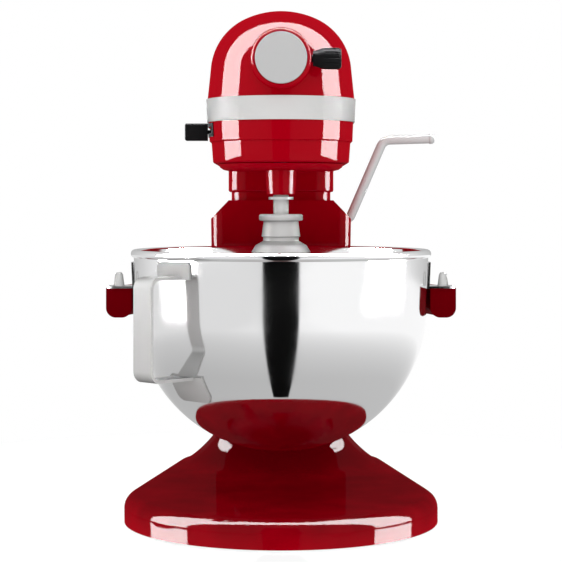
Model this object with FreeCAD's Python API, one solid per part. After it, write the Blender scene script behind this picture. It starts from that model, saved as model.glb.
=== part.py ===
import math
import os

import FreeCAD
import Part

V = FreeCAD.Vector
X_AXIS = V(1, 0, 0)
Y_AXIS = V(0, 1, 0)
Z_AXIS = V(0, 0, 1)

# Driving dimensions, in millimetres.
# Lengths in the working frame are measured from the vertical axis of the bowl: +X to the right,
# +Y to the back, +Z up from the floor. SHIFT_Y moves the finished pieces so that the origin is
# under the middle of the whole mixer.
FOOT_RADIUS = 128.5
BACK_Y = 240.0
SHIFT_Y = -(BACK_Y - FOOT_RADIUS) / 2

SHELL = 3.2
RUBBER_HEIGHT = 1.5
FOOT_HEIGHT = 24.0
FOOT_EDGE_RADIUS = 11.0
FOOT_BACK_HALF = 98.0
FOOT_BACK_CORNER = 62.0
CORD_Z = 76.0

COLUMN_FRONT = 143.0
COLUMN_BASE_Z = 48.0
COLUMN_TOP_Z = 264.0
COLUMN_HALF_LOW = 59.8
COLUMN_HALF_HIGH = 64.3
COLLAR_HALF = 45.5
NECK_HALF = 48.3
NECK_BASE_Z = 271.5
NECK_FRONT = 150.0
NECK_BACK = 234.0

CASE_BASE_Z = 294.0
CASE_TOP_Z = 311.5
CASE_HALF_LOW = 56.0
CASE_HALF_HIGH = 57.3
NOSE_Y = 3.0
HEAD_BACK = 238.0
HEAD_BACK_RADIUS = 34.0
COVER_Y = 208.0
COVER_SCREW_Z = 326.0

HEAD_TOP_Z = 419.5
HEAD_TOP_RADIUS = 70.0
HEAD_TOP_TURN = 25.4
HEAD_SHOULDER_RADIUS = 49.0
HEAD_SHOULDER_TURN = 84.0
HEAD_HALF_WIDE = 60.5
HEAD_WIDE_Z = 347.0
HEAD_HALF_LOW = 58.9
BAND_BASE_Z = 327.8
BAND_TOP_Z = 346.7
BAND_PROUD = 1.2

HUB_Z = 375.4
HUB_BOSS_RADIUS = 24.0
HUB_BOSS_FRONT = -70.0
HUB_BORE_RADIUS = 16.0
HUB_LINER_RADIUS = 18.6
HUB_SEAT_END = -46.4
HUB_BORE_END = -34.0
HUB_SOCKET_Y = -46.0
HUB_BEARING_Y = -40.0
HUB_CAP_RADIUS = 20.4
HUB_CAP_THICK = 2.6
KNOB_Y = -59.0
KNOB_INNER_X = 25.2
KNOB_OUTER_X = 47.6
KNOB_RADIUS = 8.5

RING_TEETH = 60
PINION_TEETH = 16
PLANET_MODULE = 1.25
PLANET_OFFSET = (RING_TEETH - PINION_TEETH) * PLANET_MODULE / 2
GEAR_BASE_Z = 297.0
GEAR_THICK = 9.0
PLANET_RADIUS = 51.5
PLANET_BASE_Z = 287.8
BOSS_BASE_Z = 268.0
SHAFT_RADIUS = 6.2
SHAFT_END_Z = 222.0
CROSS_PIN_Z = 231.5

FACE_TEETH = 40
DRIVE_MODULE = 1.5
FACE_RADIUS = FACE_TEETH * DRIVE_MODULE / 2
FACE_HALF_WIDTH = 2.6
HUB_TEETH = 20
MOTOR_TEETH = 12
FACE_PITCH_Z = HUB_Z - HUB_TEETH * DRIVE_MODULE / 2
MOTOR_Z = FACE_PITCH_Z + MOTOR_TEETH * DRIVE_MODULE / 2
MOTOR_FRONT = 86.0
MOTOR_BACK = 156.0
MOTOR_SHAFT_RADIUS = 4.0

WHIP_TOP_Z = 252.5
WHIP_BASE_Z = 221.0
WHIP_LOOPS = 6
WHIP_RADIUS = 54.0
WHIP_CENTRE_Z = 142.0
WHIP_ENTRY_RADIUS = 19.5
WHIP_STAGGER = 2.7
WIRE_RADIUS = 1.2

BOWL_RADIUS = 119.5
BOWL_CENTRE_Z = 177.5
BOWL_BASE_Z = 61.8
BOWL_WALL = 1.6
BOWL_FLARE = 2.4
BOWL_WALL_TOP_Z = 219.0
RIM_Z = 220.2
RIM_RADIUS = 119.9
RIM_BEAD = 3.3
HANDLE_TURN = 43.5
HANDLE_REACH = 153.0
HANDLE_HALF = 10.0
HANDLE_THICK = 2.4
HANDLE_TOP_Z = 205.0
HANDLE_BASE_Z = 124.3
PLATE_HALF = 18.0

YOKE_INNER = 122.6
YOKE_OUTER = 143.5
YOKE_BASE_Z = 167.7
YOKE_TOP_Z = 191.6
PIN_X = 133.3
GUIDE_X = 36.0
GUIDE_Y = 131.5
GUIDE_RADIUS = 5.0
GUIDE_LOW_Z = 96.0
GUIDE_HIGH_Z = 216.0

LEVER_Y = 176.0
LEVER_Z = 247.0
LEVER_RADIUS = 4.2
CRANK_RADIUS = 19.6
CRANK_START = 40.0

SPEED_Z = 321.2
SPEED_Y = 35.0
SPEED_TRAVEL = 45.0


# Small geometry helpers.

def block(x0, x1, y0, y1, z0, z1):
    return Part.makeBox(x1 - x0, y1 - y0, z1 - z0, V(x0, y0, z0))


def rod(radius, start, length, direction):
    return Part.makeCylinder(radius, length, start, direction)


def tube(outer, inner, start, length, direction):
    return rod(outer, start, length, direction).cut(rod(inner, start, length, direction))


def join(shapes):
    result = shapes[0]
    if len(shapes) > 1:
        result = shapes[0].multiFuse(shapes[1:])
    return result.removeSplitter()


def group(shapes):
    return Part.makeCompound(shapes)


def line(a, b):
    return Part.makeLine(a, b)


def arc(a, b, c):
    return Part.Arc(a, b, c).toShape()


def polygon_face(points):
    return Part.Face(Part.makePolygon(points + [points[0]]))


def turned(points, centre, start=0.0, sweep=360.0):
    """Turn a closed outline of (radius, height) points about the vertical axis at centre."""
    corners = [V(centre.x + r, centre.y, z) for r, z in points]
    face = polygon_face(corners)
    face.rotate(V(centre.x, centre.y, 0), Z_AXIS, start)
    return face.revolve(V(centre.x, centre.y, 0), Z_AXIS, sweep)


def turned_on(points, start, direction):
    """Turn a closed outline of (radius, distance) points about an axis through start."""
    corners = [V(r, 0, along) for r, along in points]
    solid = polygon_face(corners).revolve(V(0, 0, 0), Z_AXIS, 360)
    turn = FreeCAD.Rotation(Z_AXIS, direction)
    solid.Placement = FreeCAD.Placement(start, turn)
    return solid


def edges_where(shape, test):
    return [edge for edge in shape.Edges if test(edge)]


def rounded(shape, radius, test):
    edges = edges_where(shape, test)
    return shape.makeFillet(radius, edges)


def bevelled(shape, size, test):
    edges = edges_where(shape, test)
    return shape.makeChamfer(size, edges)


def spans_z(edge, low, high):
    box = edge.BoundBox
    return box.ZMin > low and box.ZMax < high


def is_vertical(edge):
    box = edge.BoundBox
    return box.XLength < 1e-3 and box.YLength < 1e-3


def rounded_box(x0, x1, y0, y1, z0, z1, radius):
    """A box with its four upright edges rounded."""
    return rounded(block(x0, x1, y0, y1, z0, z1), radius, is_vertical)


def polar(radius, degrees, z=0.0):
    angle = math.radians(degrees)
    return V(radius * math.cos(angle), radius * math.sin(angle), z)


def save(name, shape):
    shape = shape.copy()
    shape.translate(V(0, SHIFT_Y, 0))
    shape.exportStep(os.path.join("parts", name + ".step"))


# Outlines.

def foot_wire(front_radius, back_half, back_y, corner, z, front_y=0.0):
    """Plan of the foot: a round front joined by straight sides to a back with round corners."""
    back_centre = V(back_half - corner, back_y - corner, 0)
    run = back_centre - V(0, front_y, 0)
    distance = run.Length
    lean = math.atan2(run.y, run.x) - math.acos((front_radius - corner) / distance)
    side = V(math.cos(lean), math.sin(lean), 0)
    lift = V(0, 0, z)
    middle = V(0, front_y, 0)
    f_right = middle + side * front_radius + lift
    f_left = V(-f_right.x, f_right.y, z)
    f_tip = middle + V(0, -front_radius, 0) + lift
    b_side = back_centre + side * corner + lift
    b_back = back_centre + V(0, corner, 0) + lift
    mid_way = (side + V(0, 1, 0)).normalize()
    b_mid = back_centre + mid_way * corner + lift

    def mirror(p):
        return V(-p.x, p.y, p.z)

    return Part.Wire([
        arc(f_left, f_tip, f_right),
        line(f_right, b_side),
        arc(b_side, b_mid, b_back),
        line(b_back, mirror(b_back)),
        arc(mirror(b_back), mirror(b_mid), mirror(b_side)),
        line(mirror(b_side), f_left),
    ])


def ring_wire(half, front, back, front_corner, back_corner, z):
    """Plan of a rounded rectangle, symmetric about the YZ plane."""
    k = 1 - math.sqrt(0.5)
    fc = front_corner
    bc = back_corner
    pts = [
        (half - fc, front), (half - fc * k, front + fc * k), (half, front + fc),
        (half, back - bc), (half - bc * k, back - bc * k), (half - bc, back),
    ]
    right = [V(x, y, z) for x, y in pts]
    left = [V(-x, y, z) for x, y in pts]
    return Part.Wire([
        line(left[0], right[0]),
        arc(right[0], right[1], right[2]),
        line(right[2], right[3]),
        arc(right[3], right[4], right[5]),
        line(right[5], left[5]),
        arc(left[5], left[4], left[3]),
        line(left[3], left[2]),
        arc(left[2], left[1], left[0]),
    ])


def prism(wire, height):
    return Part.Face(wire).extrude(V(0, 0, height))


def head_half_edges(inset, base_z):
    """Right half of the head's cross-section in the XZ plane, from the crown to the lower edge."""
    top_turn = math.radians(HEAD_TOP_TURN)
    side_turn = math.radians(HEAD_SHOULDER_TURN)
    top_r = HEAD_TOP_RADIUS - inset
    side_r = HEAD_SHOULDER_RADIUS - inset
    top_c = V(0, 0, HEAD_TOP_Z - HEAD_TOP_RADIUS)
    gap = HEAD_TOP_RADIUS - HEAD_SHOULDER_RADIUS
    side_c = top_c + V(gap * math.sin(top_turn), 0, gap * math.cos(top_turn))

    def on(centre, radius, turn):
        return centre + V(radius * math.sin(turn), 0, radius * math.cos(turn))

    crown = on(top_c, top_r, 0)
    crown_mid = on(top_c, top_r, top_turn / 2)
    shoulder = on(top_c, top_r, top_turn)
    shoulder_mid = on(side_c, side_r, (top_turn + side_turn) / 2)
    side = on(side_c, side_r, side_turn)
    wide = V(HEAD_HALF_WIDE - inset, 0, HEAD_WIDE_Z)
    slope = (HEAD_HALF_WIDE - HEAD_HALF_LOW) / (HEAD_WIDE_Z - CASE_TOP_Z)
    low = V(wide.x - slope * (HEAD_WIDE_Z - base_z), 0, base_z)
    return [
        arc(crown, crown_mid, shoulder),
        arc(shoulder, shoulder_mid, side),
        line(side, wide),
        line(wide, low),
    ], crown, low


def swept_around(half_edges, crown, low, back):
    """Carry a half section straight along Y and round the nose about a vertical axis."""
    centre_line = line(low, V(0, 0, low.z))
    axis_line = line(V(0, 0, low.z), crown)
    half_face = Part.Face(Part.Wire(half_edges + [centre_line, axis_line]))
    nose = half_face.copy()
    nose = nose.revolve(V(0, 0, 0), Z_AXIS, -180)
    right = half_face.extrude(V(0, back - NOSE_Y, 0))
    left = right.mirror(V(0, 0, 0), X_AXIS)
    solid = join([nose, right, left])
    solid.translate(V(0, NOSE_Y, 0))
    return solid


def head_form(inset, base_z=CASE_TOP_Z):
    """The outer form of the motor head, drawn in by inset."""
    edges, crown, low = head_half_edges(inset, base_z)
    back = HEAD_BACK - inset
    solid = swept_around(edges, crown, low, back)

    def back_edge(edge):
        box = edge.BoundBox
        return box.YMin > back - 0.01 and box.ZMax > base_z + 0.01

    return rounded(solid, HEAD_BACK_RADIUS - inset, back_edge)


def case_form(inset, base_z, top_z):
    """The lower gear case: a shallow tray with a round nose, drawn in by inset."""
    slope = (CASE_HALF_HIGH - CASE_HALF_LOW) / (CASE_TOP_Z - CASE_BASE_Z)
    low_half = CASE_HALF_LOW - inset + slope * (base_z - CASE_BASE_Z)
    high_half = CASE_HALF_LOW - inset + slope * (top_z - CASE_BASE_Z)
    back = HEAD_BACK - 2.0 - inset
    corner = HEAD_BACK_RADIUS - inset
    solids = []
    for half, z in ((low_half, base_z), (high_half, top_z)):
        k = 1 - math.sqrt(0.5)
        nose_l = V(-half, NOSE_Y, z)
        nose_m = V(0, NOSE_Y - half, z)
        nose_r = V(half, NOSE_Y, z)
        b1 = V(half, back - corner, z)
        b2 = V(half - corner * k, back - corner * k, z)
        b3 = V(half - corner, back, z)

        def mirror(p):
            return V(-p.x, p.y, p.z)

        solids.append(Part.Wire([
            arc(nose_l, nose_m, nose_r),
            line(nose_r, b1),
            arc(b1, b2, b3),
            line(b3, mirror(b3)),
            arc(mirror(b3), mirror(b2), mirror(b1)),
            line(mirror(b1), nose_l),
        ]))
    return Part.makeLoft(solids, True, True)


# Gears.

def involute(angle):
    return math.tan(angle) - angle


def gear_points(teeth, module, tip, root, play):
    """Outline of an involute gear with a tooth centred on +X; play thins each tooth."""
    pressure = math.radians(20)
    pitch_r = teeth * module / 2
    base_r = pitch_r * math.cos(pressure)
    half_pitch = math.pi / (2 * teeth) - play / (2 * pitch_r) + involute(pressure)
    steps = 4
    start_r = max(root, base_r + 0.01)
    flank = []
    for i in range(steps + 1):
        r = start_r + (tip - start_r) * i / steps
        half = half_pitch - involute(math.acos(base_r / r))
        flank.append((r, half))
    if root < start_r:
        flank.insert(0, (root, flank[0][1]))
    points = []
    for tooth in range(teeth):
        middle = 2 * math.pi * tooth / teeth
        for r, half in flank:
            points.append(V(r * math.cos(middle - half), r * math.sin(middle - half), 0))
        for r, half in reversed(flank):
            points.append(V(r * math.cos(middle + half), r * math.sin(middle + half), 0))
    return points


def spur_gear(teeth, module, thickness, play, addendum=0.8, dedendum=1.25):
    pitch_r = teeth * module / 2
    points = gear_points(teeth, module, pitch_r + addendum * module, pitch_r - dedendum * module, play)
    return polygon_face(points).extrude(V(0, 0, thickness))


def ring_gear(outer):
    pitch_r = RING_TEETH * PLANET_MODULE / 2
    tip = pitch_r + 1.25 * PLANET_MODULE
    root = pitch_r - 0.8 * PLANET_MODULE
    points = gear_points(RING_TEETH, PLANET_MODULE, tip, root, -0.25)
    spaces = polygon_face(points).extrude(V(0, 0, GEAR_THICK))
    spaces.rotate(V(0, 0, 0), Z_AXIS, -90)
    body = rod(outer, V(0, 0, 0), GEAR_THICK, Z_AXIS).cut(spaces)
    body.translate(V(0, 0, GEAR_BASE_Z))
    return body


def planet_pinion():
    gear = spur_gear(PINION_TEETH, PLANET_MODULE, GEAR_THICK, 0.25)
    gear.rotate(V(0, 0, 0), Z_AXIS, -90)
    gear = gear.cut(rod(SHAFT_RADIUS - 1.0, V(0, 0, 0), GEAR_THICK, Z_AXIS))
    gear.translate(V(0, -PLANET_OFFSET, GEAR_BASE_Z))
    return gear


def face_gear():
    """A crown wheel on the centre shaft: straight grooves cut into a flat upper face."""
    inner = FACE_RADIUS - FACE_HALF_WIDTH
    outer = FACE_RADIUS + FACE_HALF_WIDTH
    depth = 1.25 * DRIVE_MODULE
    height = 0.8 * DRIVE_MODULE
    lean = math.tan(math.radians(20))
    half = math.pi * DRIVE_MODULE / 4 + 0.25
    base_z = FACE_PITCH_Z - 7.0
    rim = tube(outer, inner, V(0, 0, base_z), 7.0 + height, Z_AXIS)
    web = tube(inner + 0.5, 5.0, V(0, 0, base_z), 3.5, Z_AXIS)
    hub = tube(11.0, 5.0, V(0, 0, base_z), 9.0, Z_AXIS)
    wheel = join([rim, web, hub])
    top = FACE_PITCH_Z + height + 0.5
    low = FACE_PITCH_Z - depth
    grooves = []
    for i in range(FACE_TEETH):
        wide = half + lean * (height + 0.5)
        narrow = half - lean * depth
        y = inner - 1.5
        corners = [V(-wide, y, top), V(wide, y, top), V(narrow, y, low), V(-narrow, y, low)]
        groove = polygon_face(corners).extrude(V(0, outer - inner + 3.0, 0))
        groove.rotate(V(0, 0, 0), Z_AXIS, i * 360 / FACE_TEETH)
        grooves.append(groove)
    return wheel.cut(grooves)


def drive_pinion(teeth, y0, centre_z, bore):
    """A spur pinion on a lengthwise shaft that runs on the crown wheel."""
    width = 2 * FACE_HALF_WIDTH
    gear = spur_gear(teeth, DRIVE_MODULE, width, 0.45)
    gear = gear.cut(rod(bore, V(0, 0, 0), width, Z_AXIS))
    gear.rotate(V(0, 0, 0), Z_AXIS, 90)
    gear.rotate(V(0, 0, 0), X_AXIS, -90)
    gear.translate(V(0, y0, centre_z))
    return gear


# The stand.

def foot_levels():
    """Half-width, front, front corner, back, back corner and height of the bell under the column."""
    return [
        (90.0, 92.0, 50.0, 231.0, 56.0, 23.0),
        (82.0, 107.0, 42.0, 233.0, 48.0, 27.0),
        (73.0, 121.0, 32.0, 235.5, 38.0, 33.5),
        (66.0, 132.0, 23.0, 237.5, 30.0, 40.0),
        (61.4, 138.5, 16.0, 238.6, 25.0, 45.5),
        (COLUMN_HALF_LOW, 141.0, 14.0, BACK_Y - 1.0, 24.0, COLUMN_BASE_Z),
    ]


def base_casting():
    plan = foot_wire(FOOT_RADIUS, FOOT_BACK_HALF, BACK_Y, FOOT_BACK_CORNER, RUBBER_HEIGHT)
    slab = prism(plan, FOOT_HEIGHT - RUBBER_HEIGHT)
    slab = rounded(slab, FOOT_EDGE_RADIUS, lambda e: spans_z(e, FOOT_HEIGHT - 0.1, FOOT_HEIGHT + 0.1))
    wires = []
    hollow_wires = []
    for half, front, front_corner, back, back_corner, z in foot_levels():
        wires.append(ring_wire(half, front, back, front_corner, back_corner, z))
        hollow_wires.append(ring_wire(half - SHELL - 0.5, front + SHELL + 1.0, back - SHELL - 0.5,
                                      front_corner, back_corner, z - SHELL * 0.7))
    bell = Part.makeLoft(wires, True, False)
    form = slab.fuse(bell)
    inner_plan = foot_wire(FOOT_RADIUS - SHELL - 2, FOOT_BACK_HALF - SHELL - 2, BACK_Y - SHELL - 2,
                           FOOT_BACK_CORNER - SHELL - 2, RUBBER_HEIGHT)
    inner_slab = prism(inner_plan, FOOT_HEIGHT - SHELL - RUBBER_HEIGHT)
    inner_slab = rounded(inner_slab, FOOT_EDGE_RADIUS - 2,
                         lambda e: spans_z(e, FOOT_HEIGHT - SHELL - 0.1, FOOT_HEIGHT - SHELL + 0.1))
    inner_bell = Part.makeLoft(hollow_wires, True, False)
    solid = form.cut([inner_slab, inner_bell])
    post_z = RUBBER_HEIGHT + 4.0
    posts = [rod(7.0, V(x, y, post_z), 30.0, Z_AXIS).common(form) for x, y in foot_places()]
    return join([solid] + posts).cut([rod(2.1, V(x, y, RUBBER_HEIGHT), 14.0, Z_AXIS)
                                      for x, y in foot_places()])


def foot_places():
    return [(0.0, -104.0), (-88.0, -40.0), (88.0, -40.0), (-66.0, 190.0), (66.0, 190.0)]


def bottom_plate():
    plan = foot_wire(FOOT_RADIUS - SHELL - 3, FOOT_BACK_HALF - SHELL - 3, BACK_Y - SHELL - 3,
                     FOOT_BACK_CORNER - SHELL - 3, RUBBER_HEIGHT + 1.5)
    plate = prism(plan, 2.0)
    holes = [rod(4.0, V(x, y, 0), 10.0, Z_AXIS) for x, y in foot_places()]
    return plate.cut(holes)


def rubber_feet():
    feet = []
    for x, y in foot_places():
        pad = turned([(0, 0), (11.0, 0), (12.5, 1.2), (12.5, RUBBER_HEIGHT + 1.3), (0, RUBBER_HEIGHT + 1.3)],
                     V(x, y, 0))
        recess = rod(5.0, V(x, y, 0), 2.0, Z_AXIS)
        bore = rod(2.4, V(x, y, 0), 6.0, Z_AXIS)
        feet.append(pad.cut([recess, bore]))
    return group(feet)


def foot_screws():
    screws = []
    for x, y in foot_places():
        head = rod(4.2, V(x, y, 0.2), 1.7, Z_AXIS)
        shank = rod(2.0, V(x, y, 1.9), 13.0, Z_AXIS)
        screws.append(head.fuse(shank))
    return group(screws)


def column_form(inset):
    wires = []
    for t in (0.0, 0.35, 0.7, 1.0):
        z = COLUMN_BASE_Z + (COLUMN_TOP_Z - COLUMN_BASE_Z) * t
        half = COLUMN_HALF_LOW + (COLUMN_HALF_HIGH - COLUMN_HALF_LOW) * min(1.0, 1.08 * t) - inset
        front = COLUMN_FRONT - 2.0 * (1 - t) + inset
        back = BACK_Y - 1.0 - 3.0 * t * t - inset
        wires.append(ring_wire(half, front, back, 12.0 - inset, 26.0 - inset, z))
    return Part.makeLoft(wires, True, True)


def shoulder_cutters(inset):
    """Wedges that slope the two upper side corners of the column."""
    cutters = []
    for side in (-1, 1):
        edge = COLLAR_HALF + 1.0 - inset * 0.4
        top = COLUMN_TOP_Z + 1.0
        corners = [V(side * edge, 0, top), V(side * 90.0, 0, top),
                   V(side * 90.0, 0, COLUMN_TOP_Z - 44.0)]
        face = polygon_face(corners)
        cutters.append(face.extrude(V(0, 400, 0)))
    return cutters


def column_casting():
    outer = column_form(0.0)
    outer = outer.cut(shoulder_cutters(0.0))
    collar = prism(ring_wire(COLLAR_HALF, NECK_FRONT + 1.5, NECK_BACK - 1.5, 16.0, 22.0,
                             COLUMN_TOP_Z - 2.0), NECK_BASE_Z - COLUMN_TOP_Z + 2.0)
    outer = outer.fuse(collar)
    inner = column_form(SHELL + 0.8)
    inner = inner.cut(shoulder_cutters(SHELL * 2.5))
    roof = block(-90, 90, 0, 400, COLUMN_TOP_Z - 4.0, COLUMN_TOP_Z + 20)
    inner = inner.cut(roof)
    pad = rod(21.0, V(48.0, LEVER_Y, LEVER_Z), 30.0, X_AXIS).common(column_form(0.0))
    shell = outer.cut(inner).fuse(pad.cut(shoulder_cutters(0.0)))
    wire_way = prism(ring_wire(20.0, 196.0, 226.0, 8.0, 8.0, COLUMN_TOP_Z - 6.0), 20.0)
    crank_room = block(-6.5, 15.5, LEVER_Y, LEVER_Y + 30.0, COLUMN_TOP_Z - 9.0, NECK_BASE_Z - 1.3)
    spot_face = rod(17.0, V(59.6, LEVER_Y, LEVER_Z), 20.0, X_AXIS)
    tail_slot = block(-5.2, 5.2, COLUMN_FRONT - 10, COLUMN_FRONT + 12, 118.0, 212.0)
    lever_bore = rod(LEVER_RADIUS + 3.0, V(40.0, LEVER_Y, LEVER_Z), 60.0, X_AXIS)
    cord_bore = rod(9.0, V(0, BACK_Y - 20.0, CORD_Z), 40.0, Y_AXIS)
    bores = []
    for x in (-GUIDE_X, GUIDE_X):
        for z in (GUIDE_LOW_Z, GUIDE_HIGH_Z):
            bores.append(rod(2.2, V(x, COLUMN_FRONT - 8.0, z), 16.0, Y_AXIS))
    for x, y in head_bolt_places():
        bores.append(rod(2.6, V(x, y, COLUMN_TOP_Z - 10.0), 40.0, Z_AXIS))
    return shell.cut([wire_way, tail_slot, lever_bore, cord_bore, crank_room, spot_face] + bores)


def head_bolt_places():
    return [(-33.0, 163.0), (33.0, 163.0), (-30.0, 218.0), (30.0, 218.0)]


def head_bolts():
    bolts = []
    for x, y in head_bolt_places():
        head = rod(4.6, V(x, y, COLUMN_TOP_Z - 8.0), 4.0, Z_AXIS)
        shank = rod(2.5, V(x, y, COLUMN_TOP_Z - 4.0), 30.0, Z_AXIS)
        bolts.append(head.fuse(shank))
    return group(bolts)


def guide_rods():
    rods = []
    for x in (-GUIDE_X, GUIDE_X):
        start = V(x, GUIDE_Y, GUIDE_LOW_Z - 6.0)
        rods.append(rod(GUIDE_RADIUS, start, GUIDE_HIGH_Z - GUIDE_LOW_Z + 12.0, Z_AXIS))
    return group(rods)


def guide_brackets():
    """Four lugs that hold the two lift rods off the column."""
    lugs = []
    for x in (-GUIDE_X, GUIDE_X):
        for z in (GUIDE_LOW_Z, GUIDE_HIGH_Z):
            back = COLUMN_FRONT - 0.15 - 2.0 * (COLUMN_TOP_Z - z) / (COLUMN_TOP_Z - COLUMN_BASE_Z)
            lug = block(x - 8.0, x + 8.0, GUIDE_Y, back, z - 4.0, z + 4.0)
            nose = rod(8.0, V(x, GUIDE_Y, z - 4.0), 8.0, Z_AXIS)
            bore = rod(GUIDE_RADIUS, V(x, GUIDE_Y, z - 5.0), 10.0, Z_AXIS)
            lugs.append(lug.fuse(nose).cut(bore))
    return group(lugs)


def lift_bush():
    outer = rod(LEVER_RADIUS + 2.95, V(30.0, LEVER_Y, LEVER_Z), 29.5, X_AXIS)
    flange = rod(LEVER_RADIUS + 5.0, V(28.0, LEVER_Y, LEVER_Z), 2.5, X_AXIS)
    bore = rod(LEVER_RADIUS + 0.06, V(20.0, LEVER_Y, LEVER_Z), 60.0, X_AXIS)
    return outer.fuse(flange).cut([bore] + shoulder_cutters(0.0))


def cord_grommet():
    back = BACK_Y - 1.0 - 0.2
    cord = 4.0
    sleeve = tube(8.9, cord, V(0, back - 8.0, CORD_Z), 10.0, Y_AXIS)
    outline = [(cord, 0), (12.0, 0), (12.0, 1.2), (9.5, 3.0), (cord, 3.0)]
    lip = turned_on(outline, V(0, back + 0.05, CORD_Z), Y_AXIS)
    lip = lip.common(block(-20, 20, 0, BACK_Y - 0.01, 40, 120)).cut(column_form(0.0))
    inner_lip = tube(11.0, cord, V(0, back - 9.5, CORD_Z), 3.5, Y_AXIS)
    return join([sleeve, lip, inner_lip])


# The head.

def gear_case():
    outer = case_form(0.0, CASE_BASE_Z, CASE_TOP_Z)
    outer = rounded(outer, 2.0, lambda e: spans_z(e, CASE_BASE_Z - 0.1, CASE_BASE_Z + 0.1))
    inner = case_form(SHELL, CASE_BASE_Z + 3.0, CASE_TOP_Z + 0.01)
    ring_seat = rod(46.5, V(0, 0, CASE_BASE_Z + 2.0), 13.0, Z_AXIS)
    body = outer.cut(inner).fuse(ring_seat.common(case_form(0.5, CASE_BASE_Z, CASE_TOP_Z)))
    mouth = rod(39.6, V(0, 0, CASE_BASE_Z - 1.0), 6.0, Z_AXIS)
    socket = rod(43.05, V(0, 0, GEAR_BASE_Z), GEAR_THICK, Z_AXIS)
    bush_bore = rod(13.0, V(0, 0, GEAR_BASE_Z), 20.0, Z_AXIS)
    roof_gap = rod(40.0, V(0, 0, GEAR_BASE_Z), GEAR_THICK + 0.5, Z_AXIS)
    bridge_seat = rod(42.05, V(0, 0, GEAR_BASE_Z + GEAR_THICK + 0.5), 30.0, Z_AXIS)
    body = body.cut([mouth, socket, bush_bore, roof_gap, bridge_seat])
    neck = prism(ring_wire(NECK_HALF, NECK_FRONT, NECK_BACK, 18.0, 24.0, NECK_BASE_Z),
                 CASE_BASE_Z - NECK_BASE_Z + 3.0)
    neck = rounded(neck, 2.0, lambda e: spans_z(e, NECK_BASE_Z - 0.1, NECK_BASE_Z + 0.1))
    body = body.fuse(neck)
    way = prism(ring_wire(20.0, 196.0, 226.0, 8.0, 8.0, NECK_BASE_Z - 1.0), 40.0)
    lightening = prism(ring_wire(38.0, 172.0, 192.0, 6.0, 6.0, NECK_BASE_Z + 5.0), 40.0)
    bolts = [rod(2.5, V(x, y, NECK_BASE_Z - 5), 24.0, Z_AXIS) for x, y in head_bolt_places()]
    return body.cut([way, lightening] + bolts)


def upper_housing():
    outer = rounded(head_form(0.0), 1.2, lambda e: spans_z(e, CASE_TOP_Z - 0.1, CASE_TOP_Z + 0.1))
    inner = head_form(SHELL, CASE_TOP_Z)
    boss = rod(HUB_BOSS_RADIUS, V(0, HUB_BOSS_FRONT, HUB_Z), HUB_BORE_END - HUB_BOSS_FRONT, Y_AXIS)
    boss = rounded(boss, 3.4, lambda e: e.BoundBox.YMax < HUB_BOSS_FRONT + 0.01)
    shell = outer.cut(inner).fuse(boss)
    bore = rod(HUB_LINER_RADIUS, V(0, HUB_BOSS_FRONT - 1, HUB_Z), 60.0, Y_AXIS)
    face = rod(HUB_CAP_RADIUS + 0.5, V(0, HUB_BOSS_FRONT - 1, HUB_Z), 2.0, Y_AXIS)
    knob_bore = rod(3.6, V(HUB_BORE_RADIUS, KNOB_Y, HUB_Z), 20.0, X_AXIS)
    cover_cut = block(-90, 90, COVER_Y, 300, 200, 500)
    slot = block(-70, -50, SPEED_Y - SPEED_TRAVEL - 6.0, SPEED_Y + 6.0, SPEED_Z - 2.6, SPEED_Z + 2.6)
    return shell.cut([bore, face, knob_bore, cover_cut, slot])


def rear_cover():
    outer = head_form(0.0)
    inner = head_form(SHELL, CASE_TOP_Z + 3.0)
    shell = outer.cut(inner).common(block(-90, 90, COVER_Y + 0.4, 300, 200, 500))
    vents = []
    for row in range(7):
        z = 336.0 + 8.0 * row
        half = 26.0 - abs(row - 3) * 3.0
        vents.append(rounded(block(-half, half, HEAD_BACK - 8, HEAD_BACK + 2, z, z + 3.4), 1.6,
                             lambda e: e.BoundBox.XLength < 1e-3 and e.BoundBox.ZLength < 1e-3))
    screw_way = rod(2.2, V(0, HEAD_BACK - 8, COVER_SCREW_Z), 20.0, Y_AXIS)
    boss = tube(6.0, 2.2, V(0, COVER_Y + 4.0, COVER_SCREW_Z), HEAD_BACK - SHELL - COVER_Y - 3.9, Y_AXIS)
    return shell.cut(vents + [screw_way]).fuse(boss)


def cover_screw():
    outline = [(0, 0), (4.4, 0), (4.4, 1.0), (3.2, 1.8), (0, 1.8)]
    head = turned_on(outline, V(0, HEAD_BACK + 0.05, COVER_SCREW_Z), Y_AXIS)
    slot = block(-5, 5, HEAD_BACK + 1.1, HEAD_BACK + 3, COVER_SCREW_Z - 0.6, COVER_SCREW_Z + 0.6)
    shank = rod(2.1, V(0, HEAD_BACK - 24.0, COVER_SCREW_Z), 24.1, Y_AXIS)
    return head.fuse(shank).cut(slot)


def trim_band():
    """A strip round the head, standing a little proud of the paint."""
    outer = head_form(-BAND_PROUD)
    inner = head_form(-0.03)
    zone = block(-90, 90, -90, COVER_Y - 0.3, BAND_BASE_Z, BAND_TOP_Z)
    return outer.cut(inner).common(zone)


def hub_liner():
    front = HUB_BOSS_FRONT + 1.2
    sleeve = rod(HUB_LINER_RADIUS - 0.02, V(0, front, HUB_Z), HUB_BORE_END - front, Y_AXIS)
    seat = rod(HUB_BORE_RADIUS, V(0, front, HUB_Z), HUB_SEAT_END - front, Y_AXIS)
    back_bore = rod(HUB_BORE_RADIUS - 1.0, V(0, HUB_SEAT_END, HUB_Z), HUB_BORE_END - HUB_SEAT_END, Y_AXIS)
    knob_bore = rod(3.4, V(10.0, KNOB_Y, HUB_Z), 20.0, X_AXIS)
    return sleeve.cut([seat, back_bore, knob_bore])


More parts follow.
